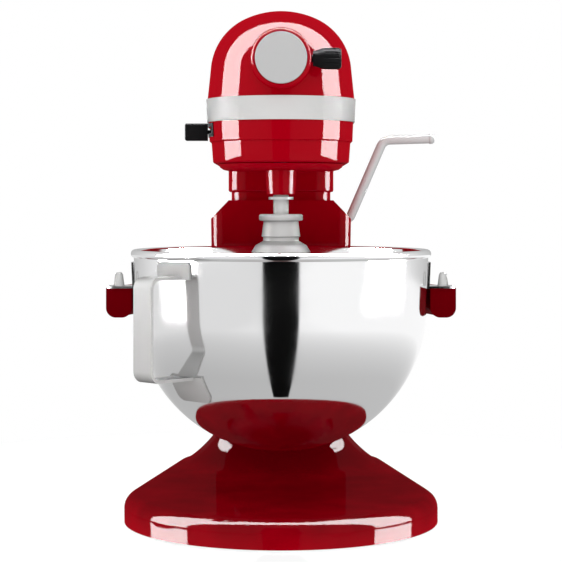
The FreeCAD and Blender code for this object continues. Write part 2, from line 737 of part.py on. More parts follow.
def hub_bearing():
    length = HUB_BORE_END - HUB_BEARING_Y
    return tube(HUB_BORE_RADIUS - 1.02, 6.06, V(0, HUB_BEARING_Y, HUB_Z), length, Y_AXIS)


def centre_bush():
    """Bronze bush that carries the centre shaft, set in a bridge over the ring gear."""
    bridge_z = GEAR_BASE_Z + GEAR_THICK + 0.5
    bridge = rod(42.0, V(0, 0, bridge_z), 2.4, Z_AXIS)
    sleeve = rod(10.0, V(0, 0, bridge_z), 16.0, Z_AXIS)
    bore = rod(6.06, V(0, 0, bridge_z - 1), 30.0, Z_AXIS)
    return bridge.fuse(sleeve).cut(bore)


def motor_stator():
    outer = rod(34.0, V(0, MOTOR_FRONT, MOTOR_Z), MOTOR_BACK - MOTOR_FRONT, Y_AXIS)
    flats = [block(-40, 40, 0, 300, MOTOR_Z + 30.0, MOTOR_Z + 40),
             block(-40, 40, 0, 300, 300, MOTOR_Z - 30.0)]
    bore = rod(20.0, V(0, MOTOR_FRONT - 1, MOTOR_Z), 100.0, Y_AXIS)
    slots = []
    for side in (-1, 1):
        low_x, high_x = sorted((side * 19, side * 27))
        slots.append(block(low_x, high_x, MOTOR_FRONT - 1, MOTOR_BACK + 1, MOTOR_Z - 5.0, MOTOR_Z + 5.0))
    for x, z in motor_bolt_places():
        slots.append(rod(2.05, V(x, MOTOR_FRONT - 1, z), 100.0, Y_AXIS))
    return outer.cut(flats + [bore] + slots)


def motor_bolt_places():
    return [(x, MOTOR_Z + z) for x in (-22.0, 22.0) for z in (-19.0, 13.0)]


def motor_bridges():
    """Two plates on legs that carry the motor between bearings and hold the stator."""
    plates = []
    floor = CASE_BASE_Z + 3.05
    for y in (MOTOR_FRONT - 16.0, MOTOR_BACK + 30.0):
        plate = rounded_box(-50.0, 50.0, y, y + 3.0, 318.0, MOTOR_Z + 16.0, 1.0)
        bearing = rod(8.0, V(0, y - 3.0, MOTOR_Z), 9.0, Y_AXIS)
        legs = [block(-50.0, -43.0, y, y + 9.0, floor, 326.0), block(43.0, 50.0, y, y + 9.0, floor, 326.0)]
        cuts = [rod(4.06, V(0, y - 4.0, MOTOR_Z), 12.0, Y_AXIS)]
        cuts += [rod(2.0, V(x, y - 1.0, z), 6.0, Y_AXIS) for x, z in motor_bolt_places()]
        plates.append(join([plate, bearing] + legs).cut(cuts))
    return group(plates)


def motor_bolts():
    """Four long bolts that draw the two bridges together through the stator."""
    bolts = []
    front = MOTOR_FRONT - 16.0
    back = MOTOR_BACK + 33.0
    for x, z in motor_bolt_places():
        head = rod(3.6, V(x, front - 2.6, z), 2.6, Y_AXIS)
        shank = rod(2.0, V(x, front, z), back - front + 1.0, Y_AXIS)
        bolts.append(head.fuse(shank))
    return group(bolts)


def brush_holders():
    holders = []
    for side in (-1, 1):
        low_x, high_x = sorted((side * 9.6, side * 19))
        holders.append(rounded_box(low_x, high_x, MOTOR_BACK + 9.0, MOTOR_BACK + 30.0,
                                   MOTOR_Z - 5.0, MOTOR_Z + 5.0, 1.0))
    return group(holders)


def control_board():
    board = block(-56.0, -53.6, 92.0, 150.0, 322.0, 352.0)
    parts = [board]
    for i in range(4):
        y = 98.0 + 13.0 * i
        parts.append(block(-53.7, -46.0, y, y + 9.0, 328.0, 337.0))
        parts.append(rod(3.0, V(-53.7, y + 4.5, 345.0), 8.0, X_AXIS))
    return join(parts)


def speed_plate():
    """A thin plate on the left side that frames the slot of the speed lever."""
    outer = head_form(-0.7)
    inner = head_form(-0.03)
    zone = block(-90, 0, -20.0, SPEED_Y + 14.0, SPEED_Z - 5.6, SPEED_Z + 5.6)
    slot = block(-90, 0, SPEED_Y - SPEED_TRAVEL - 6.0, SPEED_Y + 6.0, SPEED_Z - 2.6, SPEED_Z + 2.6)
    return outer.cut(inner).common(zone).cut(slot)


# Moving pieces of the drive.

def planetary_cover():
    rim = PLANET_RADIUS
    base = PLANET_BASE_Z
    disc = turned([(0, base), (rim - 8.0, base), (rim - 4.2, base + 0.9), (rim - 1.4, base + 2.8),
                   (rim, base + 5.6), (0, base + 5.6)], V(0, 0, 0))
    hub_top = GEAR_BASE_Z + GEAR_THICK - 0.4
    hub = rod(12.0, V(0, 0, base + 4.0), hub_top - base - 4.0, Z_AXIS)
    boss = turned([(0, BOSS_BASE_Z), (10.6, BOSS_BASE_Z), (11.4, BOSS_BASE_Z + 0.9), (12.7, base + 1.0),
                   (0, base + 1.0)], V(0, -PLANET_OFFSET, 0))
    solid = join([disc, hub, boss])
    centre = rod(6.0, V(0, 0, base + 3.0), 40.0, Z_AXIS)
    bore = rod(8.3, V(0, -PLANET_OFFSET, 0), 400.0, Z_AXIS)
    clear = rod(11.8, V(0, -PLANET_OFFSET, GEAR_BASE_Z - 0.5), 20.0, Z_AXIS)
    return solid.cut([centre, bore, clear])


def planet_bush():
    sleeve = rod(8.28, V(0, -PLANET_OFFSET, BOSS_BASE_Z + 0.4), 24.0, Z_AXIS)
    bore = rod(SHAFT_RADIUS + 0.06, V(0, -PLANET_OFFSET, 200.0), 200.0, Z_AXIS)
    return sleeve.cut(bore)


def centre_shaft():
    low = rod(5.98, V(0, 0, PLANET_BASE_Z + 3.0), 40.0, Z_AXIS)
    high = rod(5.0, V(0, 0, PLANET_BASE_Z + 43.0), FACE_PITCH_Z + 6.0 - PLANET_BASE_Z - 43.0, Z_AXIS)
    return low.fuse(high)


def beater_shaft():
    shaft = rod(SHAFT_RADIUS, V(0, -PLANET_OFFSET, SHAFT_END_Z), GEAR_BASE_Z - 1.0 - SHAFT_END_Z, Z_AXIS)
    shaft = bevelled(shaft, 1.0, lambda e: spans_z(e, SHAFT_END_Z - 0.1, SHAFT_END_Z + 0.1))
    stub = rod(SHAFT_RADIUS - 1.0, V(0, -PLANET_OFFSET, GEAR_BASE_Z - 1.0), GEAR_THICK + 1.0, Z_AXIS)
    cross = rod(1.8, V(0, -PLANET_OFFSET - 20.0, CROSS_PIN_Z), 40.0, Y_AXIS)
    return shaft.fuse(stub).cut(cross)


def shaft_washer():
    return tube(10.0, SHAFT_RADIUS, V(0, -PLANET_OFFSET, 264.2), 2.2, Z_AXIS)


def cross_pin():
    return rod(1.8, V(0, -PLANET_OFFSET - 9.6, CROSS_PIN_Z), 19.2, Y_AXIS)


def motor_shaft():
    front = FACE_RADIUS - FACE_HALF_WIDTH
    return rod(MOTOR_SHAFT_RADIUS, V(0, front, MOTOR_Z), MOTOR_BACK + 34.0 - FACE_RADIUS, Y_AXIS)


def armature_core():
    core = rod(19.0, V(0, MOTOR_FRONT + 3.0, MOTOR_Z), MOTOR_BACK - MOTOR_FRONT - 6.0, Y_AXIS)
    slots = []
    for i in range(12):
        groove = block(-1.1, 1.1, MOTOR_FRONT, MOTOR_BACK, MOTOR_Z + 13.0, MOTOR_Z + 21.0)
        groove.rotate(V(0, 0, MOTOR_Z), Y_AXIS, 30.0 * i)
        slots.append(groove)
    bore = rod(MOTOR_SHAFT_RADIUS, V(0, MOTOR_FRONT, MOTOR_Z), 100.0, Y_AXIS)
    return core.cut(slots + [bore])


def commutator():
    return tube(9.0, MOTOR_SHAFT_RADIUS, V(0, MOTOR_BACK + 6.0, MOTOR_Z), 14.0, Y_AXIS)


def motor_fan():
    hub = tube(9.0, MOTOR_SHAFT_RADIUS, V(0, MOTOR_FRONT - 8.0, MOTOR_Z), 7.0, Y_AXIS)
    plate = tube(22.5, 8.5, V(0, MOTOR_FRONT - 3.0, MOTOR_Z), 1.6, Y_AXIS)
    blades = []
    for i in range(9):
        blade = block(-0.8, 0.8, MOTOR_FRONT - 8.0, MOTOR_FRONT - 2.5, MOTOR_Z + 8.5, MOTOR_Z + 22.0)
        blade.rotate(V(0, 0, MOTOR_Z), Y_AXIS, 40.0 * i)
        blades.append(blade)
    return join([hub, plate] + blades)


def hub_drive_shaft():
    back = -(FACE_RADIUS - FACE_HALF_WIDTH)
    shaft = rod(6.0, V(0, HUB_BEARING_Y - 0.5, HUB_Z), back - HUB_BEARING_Y + 0.5, Y_AXIS)
    socket_body = rod(10.0, V(0, HUB_SOCKET_Y, HUB_Z), HUB_BEARING_Y - 0.4 - HUB_SOCKET_Y, Y_AXIS)
    square = block(-3.6, 3.6, HUB_SOCKET_Y - 1.0, HUB_BEARING_Y + 3.0, HUB_Z - 3.6, HUB_Z + 3.6)
    return shaft.fuse(socket_body).cut(square)


def hub_cap():
    y0 = HUB_BOSS_FRONT + 1.0
    disc = rod(HUB_CAP_RADIUS, V(0, y0 - HUB_CAP_THICK - 1.0, HUB_Z), HUB_CAP_THICK + 0.9, Y_AXIS)
    return rounded(disc, 0.9, lambda e: e.BoundBox.YMax < y0 - HUB_CAP_THICK - 0.9)


def attachment_knob():
    length = KNOB_OUTER_X - KNOB_INNER_X
    outline = [(0, 0), (6.0, 0), (6.3, 2.5), (8.0, 7.0), (KNOB_RADIUS, 10.0), (KNOB_RADIUS, length - 2.2),
               (7.6, length - 0.5), (6.4, length), (0, length)]
    knob = turned_on(outline, V(KNOB_INNER_X, KNOB_Y, HUB_Z), X_AXIS)
    flutes = []
    for i in range(12):
        flute = rod(1.0, V(KNOB_INNER_X + 9.0, KNOB_Y, HUB_Z + KNOB_RADIUS + 0.35), length, X_AXIS)
        flute.rotate(V(0, KNOB_Y, HUB_Z), X_AXIS, 30.0 * i)
        flutes.append(flute)
    bore = rod(2.9, V(KNOB_INNER_X - 1, KNOB_Y, HUB_Z), 9.0, X_AXIS)
    return knob.cut(flutes + [bore])


def knob_screw():
    tip_x = HUB_BORE_RADIUS + 0.4
    return rod(2.88, V(tip_x, KNOB_Y, HUB_Z), KNOB_INNER_X + 8.0 - tip_x, X_AXIS)


def speed_arm():
    bar = block(-63.5, -38.0, SPEED_Y - 4.0, SPEED_Y + 4.0, SPEED_Z - 1.6, SPEED_Z + 1.6)
    shoe = block(-50.0, -38.0, SPEED_Y - 8.0, SPEED_Y + 8.0, SPEED_Z - 1.6, SPEED_Z + 5.0)
    return bar.fuse(shoe)


def speed_knob():
    knob = block(-80.8, -61.9, SPEED_Y - 8.0, SPEED_Y + 8.0, SPEED_Z - 7.2, SPEED_Z + 7.2)
    knob = rounded(knob, 2.4, lambda e: e.BoundBox.XLength > 10)
    knob = rounded(knob, 1.4, lambda e: e.BoundBox.XMax < -80.7)
    return knob.cut(block(-64.0, -60.0, SPEED_Y - 4.0, SPEED_Y + 4.0, SPEED_Z - 1.6, SPEED_Z + 1.6))


# The whip.

def whip_hub():
    centre = V(0, -PLANET_OFFSET, 0)
    bore = SHAFT_RADIUS + 0.1
    base = WHIP_BASE_Z
    top = WHIP_TOP_Z
    outline = [(bore, top), (bore, base), (23.0, base), (24.0, base + 1.0), (20.5, base + 6.5),
               (16.0, base + 9.0), (14.4, base + 10.0), (14.4, base + 13.0), (15.6, base + 13.6),
               (14.0, top - 5.6), (17.0, top - 5.2), (17.6, top - 4.2), (17.6, top - 1.0), (16.6, top)]
    hub = turned(outline, centre)
    reach = 10.4
    low = CROSS_PIN_Z - 2.3
    cutters = []
    for half_turn in (0, 180):
        wedge_face = polygon_face([V(0, 0, low), polar(20, -118, low), polar(20, -90, low),
                                   polar(20, -62, low), polar(20, -44, low)])
        wedge = wedge_face.extrude(V(0, 0, 4.6)).common(rod(reach, V(0, 0, low), 4.6, Z_AXIS))
        wedge.rotate(V(0, 0, 0), Z_AXIS, half_turn)
        wedge.translate(centre)
        cutters.append(wedge)
        entry = block(0, reach, -2.3, 2.3, low, WHIP_TOP_Z + 1).common(rod(reach, V(0, 0, low), 60, Z_AXIS))
        entry.rotate(V(0, 0, 0), Z_AXIS, -55 + half_turn)
        entry.translate(centre)
        cutters.append(entry)
    return hub.cut(cutters)


def whip_loop(index):
    """One sprung wire: two straight legs tangent to a round bottom."""
    radius = WHIP_RADIUS - WHIP_STAGGER * index / 2
    centre_z = WHIP_CENTRE_Z + WHIP_STAGGER * index / 2
    drop = WHIP_BASE_Z + 2.0 - centre_z
    distance = math.hypot(WHIP_ENTRY_RADIUS, drop)
    entry_angle = math.atan2(drop, WHIP_ENTRY_RADIUS)
    touch_angle = entry_angle - math.acos(radius / distance)
    entry = V(WHIP_ENTRY_RADIUS, 0, WHIP_BASE_Z + 2.0)
    touch = V(radius * math.cos(touch_angle), 0, centre_z + radius * math.sin(touch_angle))

    def other(p):
        return V(-p.x, p.y, p.z)

    path = Part.Wire([
        line(entry, touch),
        arc(touch, V(0, 0, centre_z - radius), other(touch)),
        line(other(touch), other(entry)),
    ])
    circle = Part.Wire(Part.makeCircle(WIRE_RADIUS, entry, touch - entry))
    loop = path.makePipeShell([circle], True, False)
    loop.rotate(V(0, 0, 0), Z_AXIS, 15 + index * 180 / WHIP_LOOPS)
    loop.translate(V(0, -PLANET_OFFSET, 0))
    return loop


def whip_wires():
    return group([whip_loop(i) for i in range(WHIP_LOOPS)])


def whip_hub_drilled():
    """The hub with a blind hole for each wire end."""
    hub = whip_hub()
    holes = [whip_loop(i) for i in range(WHIP_LOOPS)]
    return hub.cut(holes)


# The bowl.

def bowl_profile(inset):
    """Outer or inner wall line of the bowl in the XZ plane, from the axis to the rim."""
    radius = BOWL_RADIUS - inset
    base_z = BOWL_BASE_Z + inset
    base_r = math.sqrt(radius ** 2 - (BOWL_CENTRE_Z - base_z) ** 2)
    flare = math.radians(BOWL_FLARE)
    bend = V(radius * math.cos(flare), 0, BOWL_CENTRE_Z - radius * math.sin(flare))
    top = V(bend.x + (BOWL_WALL_TOP_Z - bend.z) * math.tan(flare), 0, BOWL_WALL_TOP_Z)
    start = math.atan2(base_z - BOWL_CENTRE_Z, base_r)
    middle = (start - flare) / 2
    mid = V(radius * math.cos(middle), 0, BOWL_CENTRE_Z + radius * math.sin(middle))
    foot = V(base_r, 0, base_z)
    return V(0, 0, base_z), foot, mid, bend, top


def bowl_solid(inset):
    axis, foot, mid, bend, top = bowl_profile(inset)
    edges = [line(axis, foot), arc(foot, mid, bend), line(bend, top), line(top, V(0, 0, top.z)),
             line(V(0, 0, top.z), axis)]
    return Part.Face(Part.Wire(edges)).revolve(V(0, 0, 0), Z_AXIS, 360)


def bowl_shell():
    rim = Part.makeTorus(RIM_RADIUS, RIM_BEAD, V(0, 0, RIM_Z), Z_AXIS)
    shell = bowl_solid(0.0).cut(bowl_solid(BOWL_WALL))
    return shell.fuse(rim)


def handle_turned(shape):
    shape = shape.copy()
    shape.rotate(V(0, 0, 0), Z_AXIS, -90 - HANDLE_TURN)
    return shape


def bowl_handle():
    """A wide strap bent from sheet, standing off the wall between two spot-welded plates."""
    t = HANDLE_THICK
    bend = 9.0

    def far_bends(reach):
        return lambda e: e.BoundBox.XMin > reach - 0.1 and e.BoundBox.YLength > 5

    outer = block(90, HANDLE_REACH, -HANDLE_HALF, HANDLE_HALF, HANDLE_BASE_Z, HANDLE_TOP_Z)
    outer = rounded(outer, bend, far_bends(HANDLE_REACH))
    inner = block(80, HANDLE_REACH - t, -HANDLE_HALF - 1, HANDLE_HALF + 1,
                  HANDLE_BASE_Z + t, HANDLE_TOP_Z - t)
    inner = rounded(inner, bend - t, far_bends(HANDLE_REACH - t))
    strap = outer.cut(inner)
    plate_zone_high = block(90, 125, -PLATE_HALF, PLATE_HALF, HANDLE_TOP_Z - t, 216.0)
    plate_zone_high = rounded(plate_zone_high, 3.0,
                              lambda e: e.BoundBox.XLength > 20 and e.BoundBox.ZMin > 210)
    plate_zone_low = block(60, 125, -PLATE_HALF, PLATE_HALF, 106.0, HANDLE_BASE_Z + t)
    plate_zone_low = rounded(plate_zone_low, 6.0,
                             lambda e: e.BoundBox.XLength > 20 and e.BoundBox.ZMax < 107)
    sheet = bowl_solid(-1.6)
    plates = [sheet.common(plate_zone_high), sheet.common(plate_zone_low)]
    solid = join([strap] + plates).cut(bowl_solid(0.0))
    return handle_turned(solid)


def bowl_ears():
    """Side brackets of the bowl: a plate on the wall, bent out flat over each arm."""
    ears = []
    for side in (-1, 1):
        x_wall = 119.0
        wall_zone = block(x_wall, 126, -15.0, 15.0, YOKE_TOP_Z + 0.1, 213.0)
        wall_plate = bowl_solid(-1.8).common(wall_zone)
        tab = rounded_box(110.0, 142.6, -12.0, 12.0, YOKE_TOP_Z + 0.1, YOKE_TOP_Z + 1.9, 5.0)
        hole = rod(5.0, V(PIN_X, 0, 100), 200.0, Z_AXIS)
        ear = wall_plate.fuse(tab).cut([bowl_solid(0.0), hole])
        if side < 0:
            ear = ear.mirror(V(0, 0, 0), X_AXIS)
        ears.append(ear)
    return group(ears)


def rear_stud():
    stud = rod(3.0, V(0, 118.0, 197.5), 14.0, Y_AXIS)
    head = rod(4.4, V(0, 130.4, 197.5), 1.8, Y_AXIS)
    plate = bowl_solid(-1.5).common(block(-9, 9, 110, 126, 188.0, 207.0))
    return join([stud, head, plate]).cut(bowl_solid(0.0))


# The lift.

def bowl_yoke():
    """The U-shaped support: two arms round the bowl and a sliding block on the guide rods."""
    band = YOKE_TOP_Z - YOKE_BASE_Z
    start = V(0, 0, YOKE_BASE_Z)
    arms = rod(YOKE_OUTER, start, band, Z_AXIS).cut(rod(YOKE_INNER, start, band, Z_AXIS))
    arms = arms.cut(block(-200, 200, -200, -9.0, 0, 400))
    arms = rounded(arms, 8.0, lambda e: e.BoundBox.ZMax < YOKE_BASE_Z + 0.1 and e.BoundBox.XLength > 200)
    front = COLUMN_FRONT - 3.0
    arms = arms.cut(block(-200, 200, front, 300, 0, 400))
    carriage = rounded_box(-50.0, 50.0, 110.0, front, YOKE_BASE_Z - 22.0, YOKE_TOP_Z, 3.0)
    carriage = carriage.cut(rod(YOKE_INNER, V(0, 0, 0), 400, Z_AXIS))
    body = join([arms, carriage])
    bores = [rod(GUIDE_RADIUS + 2.0, V(x, GUIDE_Y, 0), 400, Z_AXIS) for x in (-GUIDE_X, GUIDE_X)]
    pin_seats = [rod(3.0, V(side * PIN_X, 0, YOKE_TOP_Z - 10.0), 12.0, Z_AXIS) for side in (-1, 1)]
    return body.cut(bores + pin_seats + [tail_flange()] + tail_screw_shanks())


def slide_bushes():
    bushes = []
    for x in (-GUIDE_X, GUIDE_X):
        bushes.append(tube(GUIDE_RADIUS + 1.98, GUIDE_RADIUS + 0.08, V(x, GUIDE_Y, YOKE_BASE_Z - 22.0),
                           YOKE_TOP_Z - YOKE_BASE_Z + 22.0, Z_AXIS))
    return group(bushes)


def locating_pins():
    pins = []
    for side in (-1, 1):
        cone = turned([(0, YOKE_TOP_Z), (4.6, YOKE_TOP_Z), (4.4, YOKE_TOP_Z + 2.2), (3.2, YOKE_TOP_Z + 11.0),
                       (2.0, YOKE_TOP_Z + 12.8), (0, YOKE_TOP_Z + 13.0)], V(side * PIN_X, 0, 0))
        stem = rod(2.98, V(side * PIN_X, 0, YOKE_TOP_Z - 9.5), 9.6, Z_AXIS)
        pins.append(cone.fuse(stem))
    return group(pins)


def lift_tail():
    """A blade on the yoke that reaches into the column and takes the crank pin in a slot."""
    front = COLUMN_FRONT - 3.0
    start_turn = math.radians(CRANK_START)
    pin_z = LEVER_Z + CRANK_RADIUS * math.cos(start_turn)
    pin_y_low = LEVER_Y + CRANK_RADIUS * math.sin(start_turn)
    pin_y_high = LEVER_Y + CRANK_RADIUS
    reach = block(-4.0, 4.0, front - 1.0, pin_y_high + 8.0, YOKE_BASE_Z - 16.0, YOKE_BASE_Z - 2.0)
    upright_y0 = pin_y_low - 9.0
    upright = block(-4.0, 4.0, upright_y0, pin_y_high + 9.0, YOKE_BASE_Z - 16.0, pin_z + 7.3)
    slot = rounded(block(-5.0, 5.0, pin_y_low - 4.6, pin_y_high + 4.6, pin_z - 4.3, pin_z + 4.3), 4.2,
                   lambda e: e.BoundBox.XLength > 5)
    return join([tail_flange(), reach, upright]).cut([slot] + tail_screw_shanks())


def tail_flange():
    front = COLUMN_FRONT - 3.0
    return block(-17.0, 17.0, front - 2.5, front, YOKE_BASE_Z - 16.0, YOKE_BASE_Z - 2.0)


def tail_screw_shanks():
    front = COLUMN_FRONT - 3.0
    return [rod(2.0, V(x, front - 9.0, YOKE_BASE_Z - 9.0), 9.0, Y_AXIS) for x in (-12.0, 12.0)]


def tail_screws():
    heads = [rod(3.6, V(x, COLUMN_FRONT - 3.0, YOKE_BASE_Z - 9.0), 1.1, Y_AXIS) for x in (-12.0, 12.0)]
    return group([head.fuse(shank) for head, shank in zip(heads, tail_screw_shanks())])


def latch_spring():
    """A two-pronged clip on the carriage that grips the stud at the back of the bowl."""
    prongs = []
    for side in (-1, 1):
        low_x, high_x = sorted((side * 3.3, side * 6.0))
        prongs.append(block(low_x, high_x, 126.4, 129.6, YOKE_TOP_Z + 0.05, YOKE_TOP_Z + 10.0))
    plate = block(-16.0, 16.0, 126.4, 138.0, YOKE_TOP_Z + 0.05, YOKE_TOP_Z + 1.4)
    return join(prongs + [plate])


def lever_points():
    """Centre line of the lever rod from the shaft to the tip, in the plane of the shaft."""
    return [V(12.0, LEVER_Y, LEVER_Z), V(63.6, LEVER_Y, LEVER_Z),
            V(94.9, LEVER_Y, 319.6), V(141.0, LEVER_Y, 321.0)]


def bent_path(points, radii):
    """Straight runs joined by tangent arcs."""
    edges = []
    start = points[0]
    for i in range(1, len(points) - 1):
        before = (points[i - 1] - points[i]).normalize()
        after = (points[i + 1] - points[i]).normalize()
        half = before.getAngle(after) / 2
        reach = radii[i - 1] / math.tan(half)
        a = points[i] + before * reach
        c = points[i] + after * reach
        middle = (before + after).normalize()
        centre = points[i] + middle * (radii[i - 1] / math.sin(half))
        b = centre - middle * radii[i - 1]
        edges.append(line(start, a))
        edges.append(arc(a, b, c))
        start = c
    edges.append(line(start, points[-1]))
    return Part.Wire(edges)


def lift_rod():
    points = lever_points()
    path = bent_path(points, [5.0, 10.0])
    circle = Part.Wire(Part.makeCircle(LEVER_RADIUS, points[0], X_AXIS))
    return path.makePipeShell([circle], True, False)


def lift_grip():
    points = lever_points()
    direction = (points[3] - points[2]).normalize()
    start = points[3] - direction * 4.0
    lip = LEVER_RADIUS + 0.5
    outline = [(LEVER_RADIUS, 0), (lip, 0.4), (lip, 3.0), (3.4, 4.9), (0, 5.4), (0, 4.0), (LEVER_RADIUS, 4.0)]
    return turned_on(outline, start, direction)


def lift_crank():
    turn = math.radians(CRANK_START)
    pin_y = LEVER_Y + CRANK_RADIUS * math.sin(turn)
    pin_z = LEVER_Z + CRANK_RADIUS * math.cos(turn)
    hub = rod(9.0, V(5.2, LEVER_Y, LEVER_Z), 9.0, X_AXIS)
    eye = rod(6.5, V(5.2, pin_y, pin_z), 6.0, X_AXIS)
    web = block(5.2, 11.2, LEVER_Y - 5.5, LEVER_Y + 5.5, LEVER_Z, LEVER_Z + CRANK_RADIUS)
    web.rotate(V(0, LEVER_Y, LEVER_Z), X_AXIS, -CRANK_START)
    pin = rod(3.0, V(-6.0, pin_y, pin_z), 12.0, X_AXIS)
    bore = rod(LEVER_RADIUS, V(12.0, LEVER_Y, LEVER_Z), 10.0, X_AXIS)
    return join([hub, eye, web, pin]).cut(bore)


def build():
    os.makedirs("parts", exist_ok=True)
    save("base_casting", base_casting())
    save("bottom_plate", bottom_plate())
    save("rubber_feet", rubber_feet())
    save("foot_screws", foot_screws())
    save("column_casting", column_casting())
    save("guide_rods", guide_rods())
    save("guide_brackets", guide_brackets())
    save("lift_bush", lift_bush())
    save("cord_grommet", cord_grommet())
    save("head_bolts", head_bolts())
    save("gear_case", gear_case())
    save("ring_gear", ring_gear(43.0))
    save("centre_bush", centre_bush())
    save("upper_housing", upper_housing())
    save("rear_cover", rear_cover())
    save("cover_screw", cover_screw())
    save("trim_band", trim_band())
    save("hub_liner", hub_liner())
    save("hub_bearing", hub_bearing())
    save("motor_stator", motor_stator())
    save("motor_bridges", motor_bridges())
    save("motor_bolts", motor_bolts())
    save("brush_holders", brush_holders())
    save("control_board", control_board())
    save("speed_plate", speed_plate())
    save("planetary_cover", planetary_cover())
    save("planet_bush", planet_bush())
    save("centre_shaft", centre_shaft())
    save("face_gear", face_gear())
    save("beater_shaft", beater_shaft())
    save("planet_pinion", planet_pinion())
    save("shaft_washer", shaft_washer())
    save("cross_pin", cross_pin())
    save("motor_shaft", motor_shaft())
    save("armature_core", armature_core())
    save("commutator", commutator())
    save("motor_fan", motor_fan())
    save("motor_pinion", drive_pinion(MOTOR_TEETH, FACE_RADIUS - FACE_HALF_WIDTH, MOTOR_Z,
                                      MOTOR_SHAFT_RADIUS))
    save("hub_drive_shaft", hub_drive_shaft())
    save("hub_pinion", drive_pinion(HUB_TEETH, -FACE_RADIUS - FACE_HALF_WIDTH, HUB_Z, 6.0))
    save("hub_cap", hub_cap())
    save("attachment_knob", attachment_knob())
    save("knob_screw", knob_screw())
    save("speed_arm", speed_arm())
    save("speed_knob", speed_knob())
    save("whip_hub", whip_hub_drilled())
    save("whip_wires", whip_wires())
    save("bowl_shell", bowl_shell())
    save("bowl_handle", bowl_handle())
    save("bowl_ears", bowl_ears())
    save("rear_stud", rear_stud())
    save("bowl_yoke", bowl_yoke())
    save("slide_bushes", slide_bushes())
    save("locating_pins", locating_pins())
    save("lift_tail", lift_tail())
    save("tail_screws", tail_screws())
    save("latch_spring", latch_spring())
    save("lift_rod", lift_rod())
    save("lift_grip", lift_grip())
    save("lift_crank", lift_crank())


build()
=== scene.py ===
"""Stand mixer with a bowl lift: the looks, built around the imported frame."""

import math

import bmesh
import bpy
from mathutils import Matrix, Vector


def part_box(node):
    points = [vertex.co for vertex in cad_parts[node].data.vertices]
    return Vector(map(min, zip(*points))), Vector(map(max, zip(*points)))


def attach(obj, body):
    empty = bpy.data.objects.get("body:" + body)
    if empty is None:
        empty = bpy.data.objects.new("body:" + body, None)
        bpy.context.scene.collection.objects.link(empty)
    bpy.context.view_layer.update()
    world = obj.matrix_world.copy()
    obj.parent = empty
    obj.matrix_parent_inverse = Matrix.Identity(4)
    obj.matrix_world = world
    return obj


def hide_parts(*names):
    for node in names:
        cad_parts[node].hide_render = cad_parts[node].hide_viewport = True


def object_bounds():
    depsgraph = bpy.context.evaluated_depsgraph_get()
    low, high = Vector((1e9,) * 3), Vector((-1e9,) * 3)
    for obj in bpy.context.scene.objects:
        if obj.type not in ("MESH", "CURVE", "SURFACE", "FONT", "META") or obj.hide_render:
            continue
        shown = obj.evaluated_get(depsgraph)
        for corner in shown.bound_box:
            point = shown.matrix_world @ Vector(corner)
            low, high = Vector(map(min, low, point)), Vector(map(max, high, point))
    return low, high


bl_info = {
    "name": "Bowl Lift Stand Mixer",
    "version": (1, 0, 0),
    "blender": (4, 5, 0),
    "location": "View3D > Sidebar > Mixer",
    "description": "Builds the visible surfaces of a stand mixer round its mechanical frame",
    "category": "Add Mesh",
}

MM = 0.001
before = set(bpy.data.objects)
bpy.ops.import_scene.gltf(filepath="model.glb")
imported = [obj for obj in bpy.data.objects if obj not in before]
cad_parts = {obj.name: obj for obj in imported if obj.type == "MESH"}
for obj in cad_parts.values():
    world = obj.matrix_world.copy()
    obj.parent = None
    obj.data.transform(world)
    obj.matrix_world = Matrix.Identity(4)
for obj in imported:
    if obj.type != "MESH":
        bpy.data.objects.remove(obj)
CAD_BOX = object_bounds()

X_AXIS = Vector((1, 0, 0))
Y_AXIS = Vector((0, 1, 0))
Z_AXIS = Vector((0, 0, 1))

BOWL_LOW, BOWL_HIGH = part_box("bowl_shell")
BOWL_AXIS = Vector((0, (BOWL_LOW.y + BOWL_HIGH.y) / 2, 0))
RIM_OUTER = (BOWL_HIGH.x - BOWL_LOW.x) / 2
CAP_LOW, CAP_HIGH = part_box("hub_cap")
CAP_RADIUS = (CAP_HIGH.x - CAP_LOW.x) / 2
HUB_Z = (CAP_LOW.z + CAP_HIGH.z) / 2

# Painted shade on the enamel: it is darkest between these two heights, and brightens down to the floor
# and up to the case.
FOOT_Z = 45 * MM
SEAT_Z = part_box("column_casting")[1].z - 90 * MM
CASE_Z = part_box("upper_housing")[0].z

# Edges that turn more than this many degrees stay crisp.
CREASE = 32
# Points nearer than this are one point: on a spun pole, and in a CAD mesh.
POLE_MERGE = 0.02 * MM
MESH_MERGE = 0.002 * MM

# The bowl's round side, its leaning wall and the rolled edge, which starts and ends by angle.
BOWL_CENTRE_DROP = 42.7 * MM
BOWL_FLARE = 2.4
BEAD_OVERHANG = 0.4 * MM
BEAD_START = 15
BEAD_TURN = 225

# Radius of the rounded edge of the hub cap.
CAP_EDGE = 0.9 * MM


# Settings that a user would change.

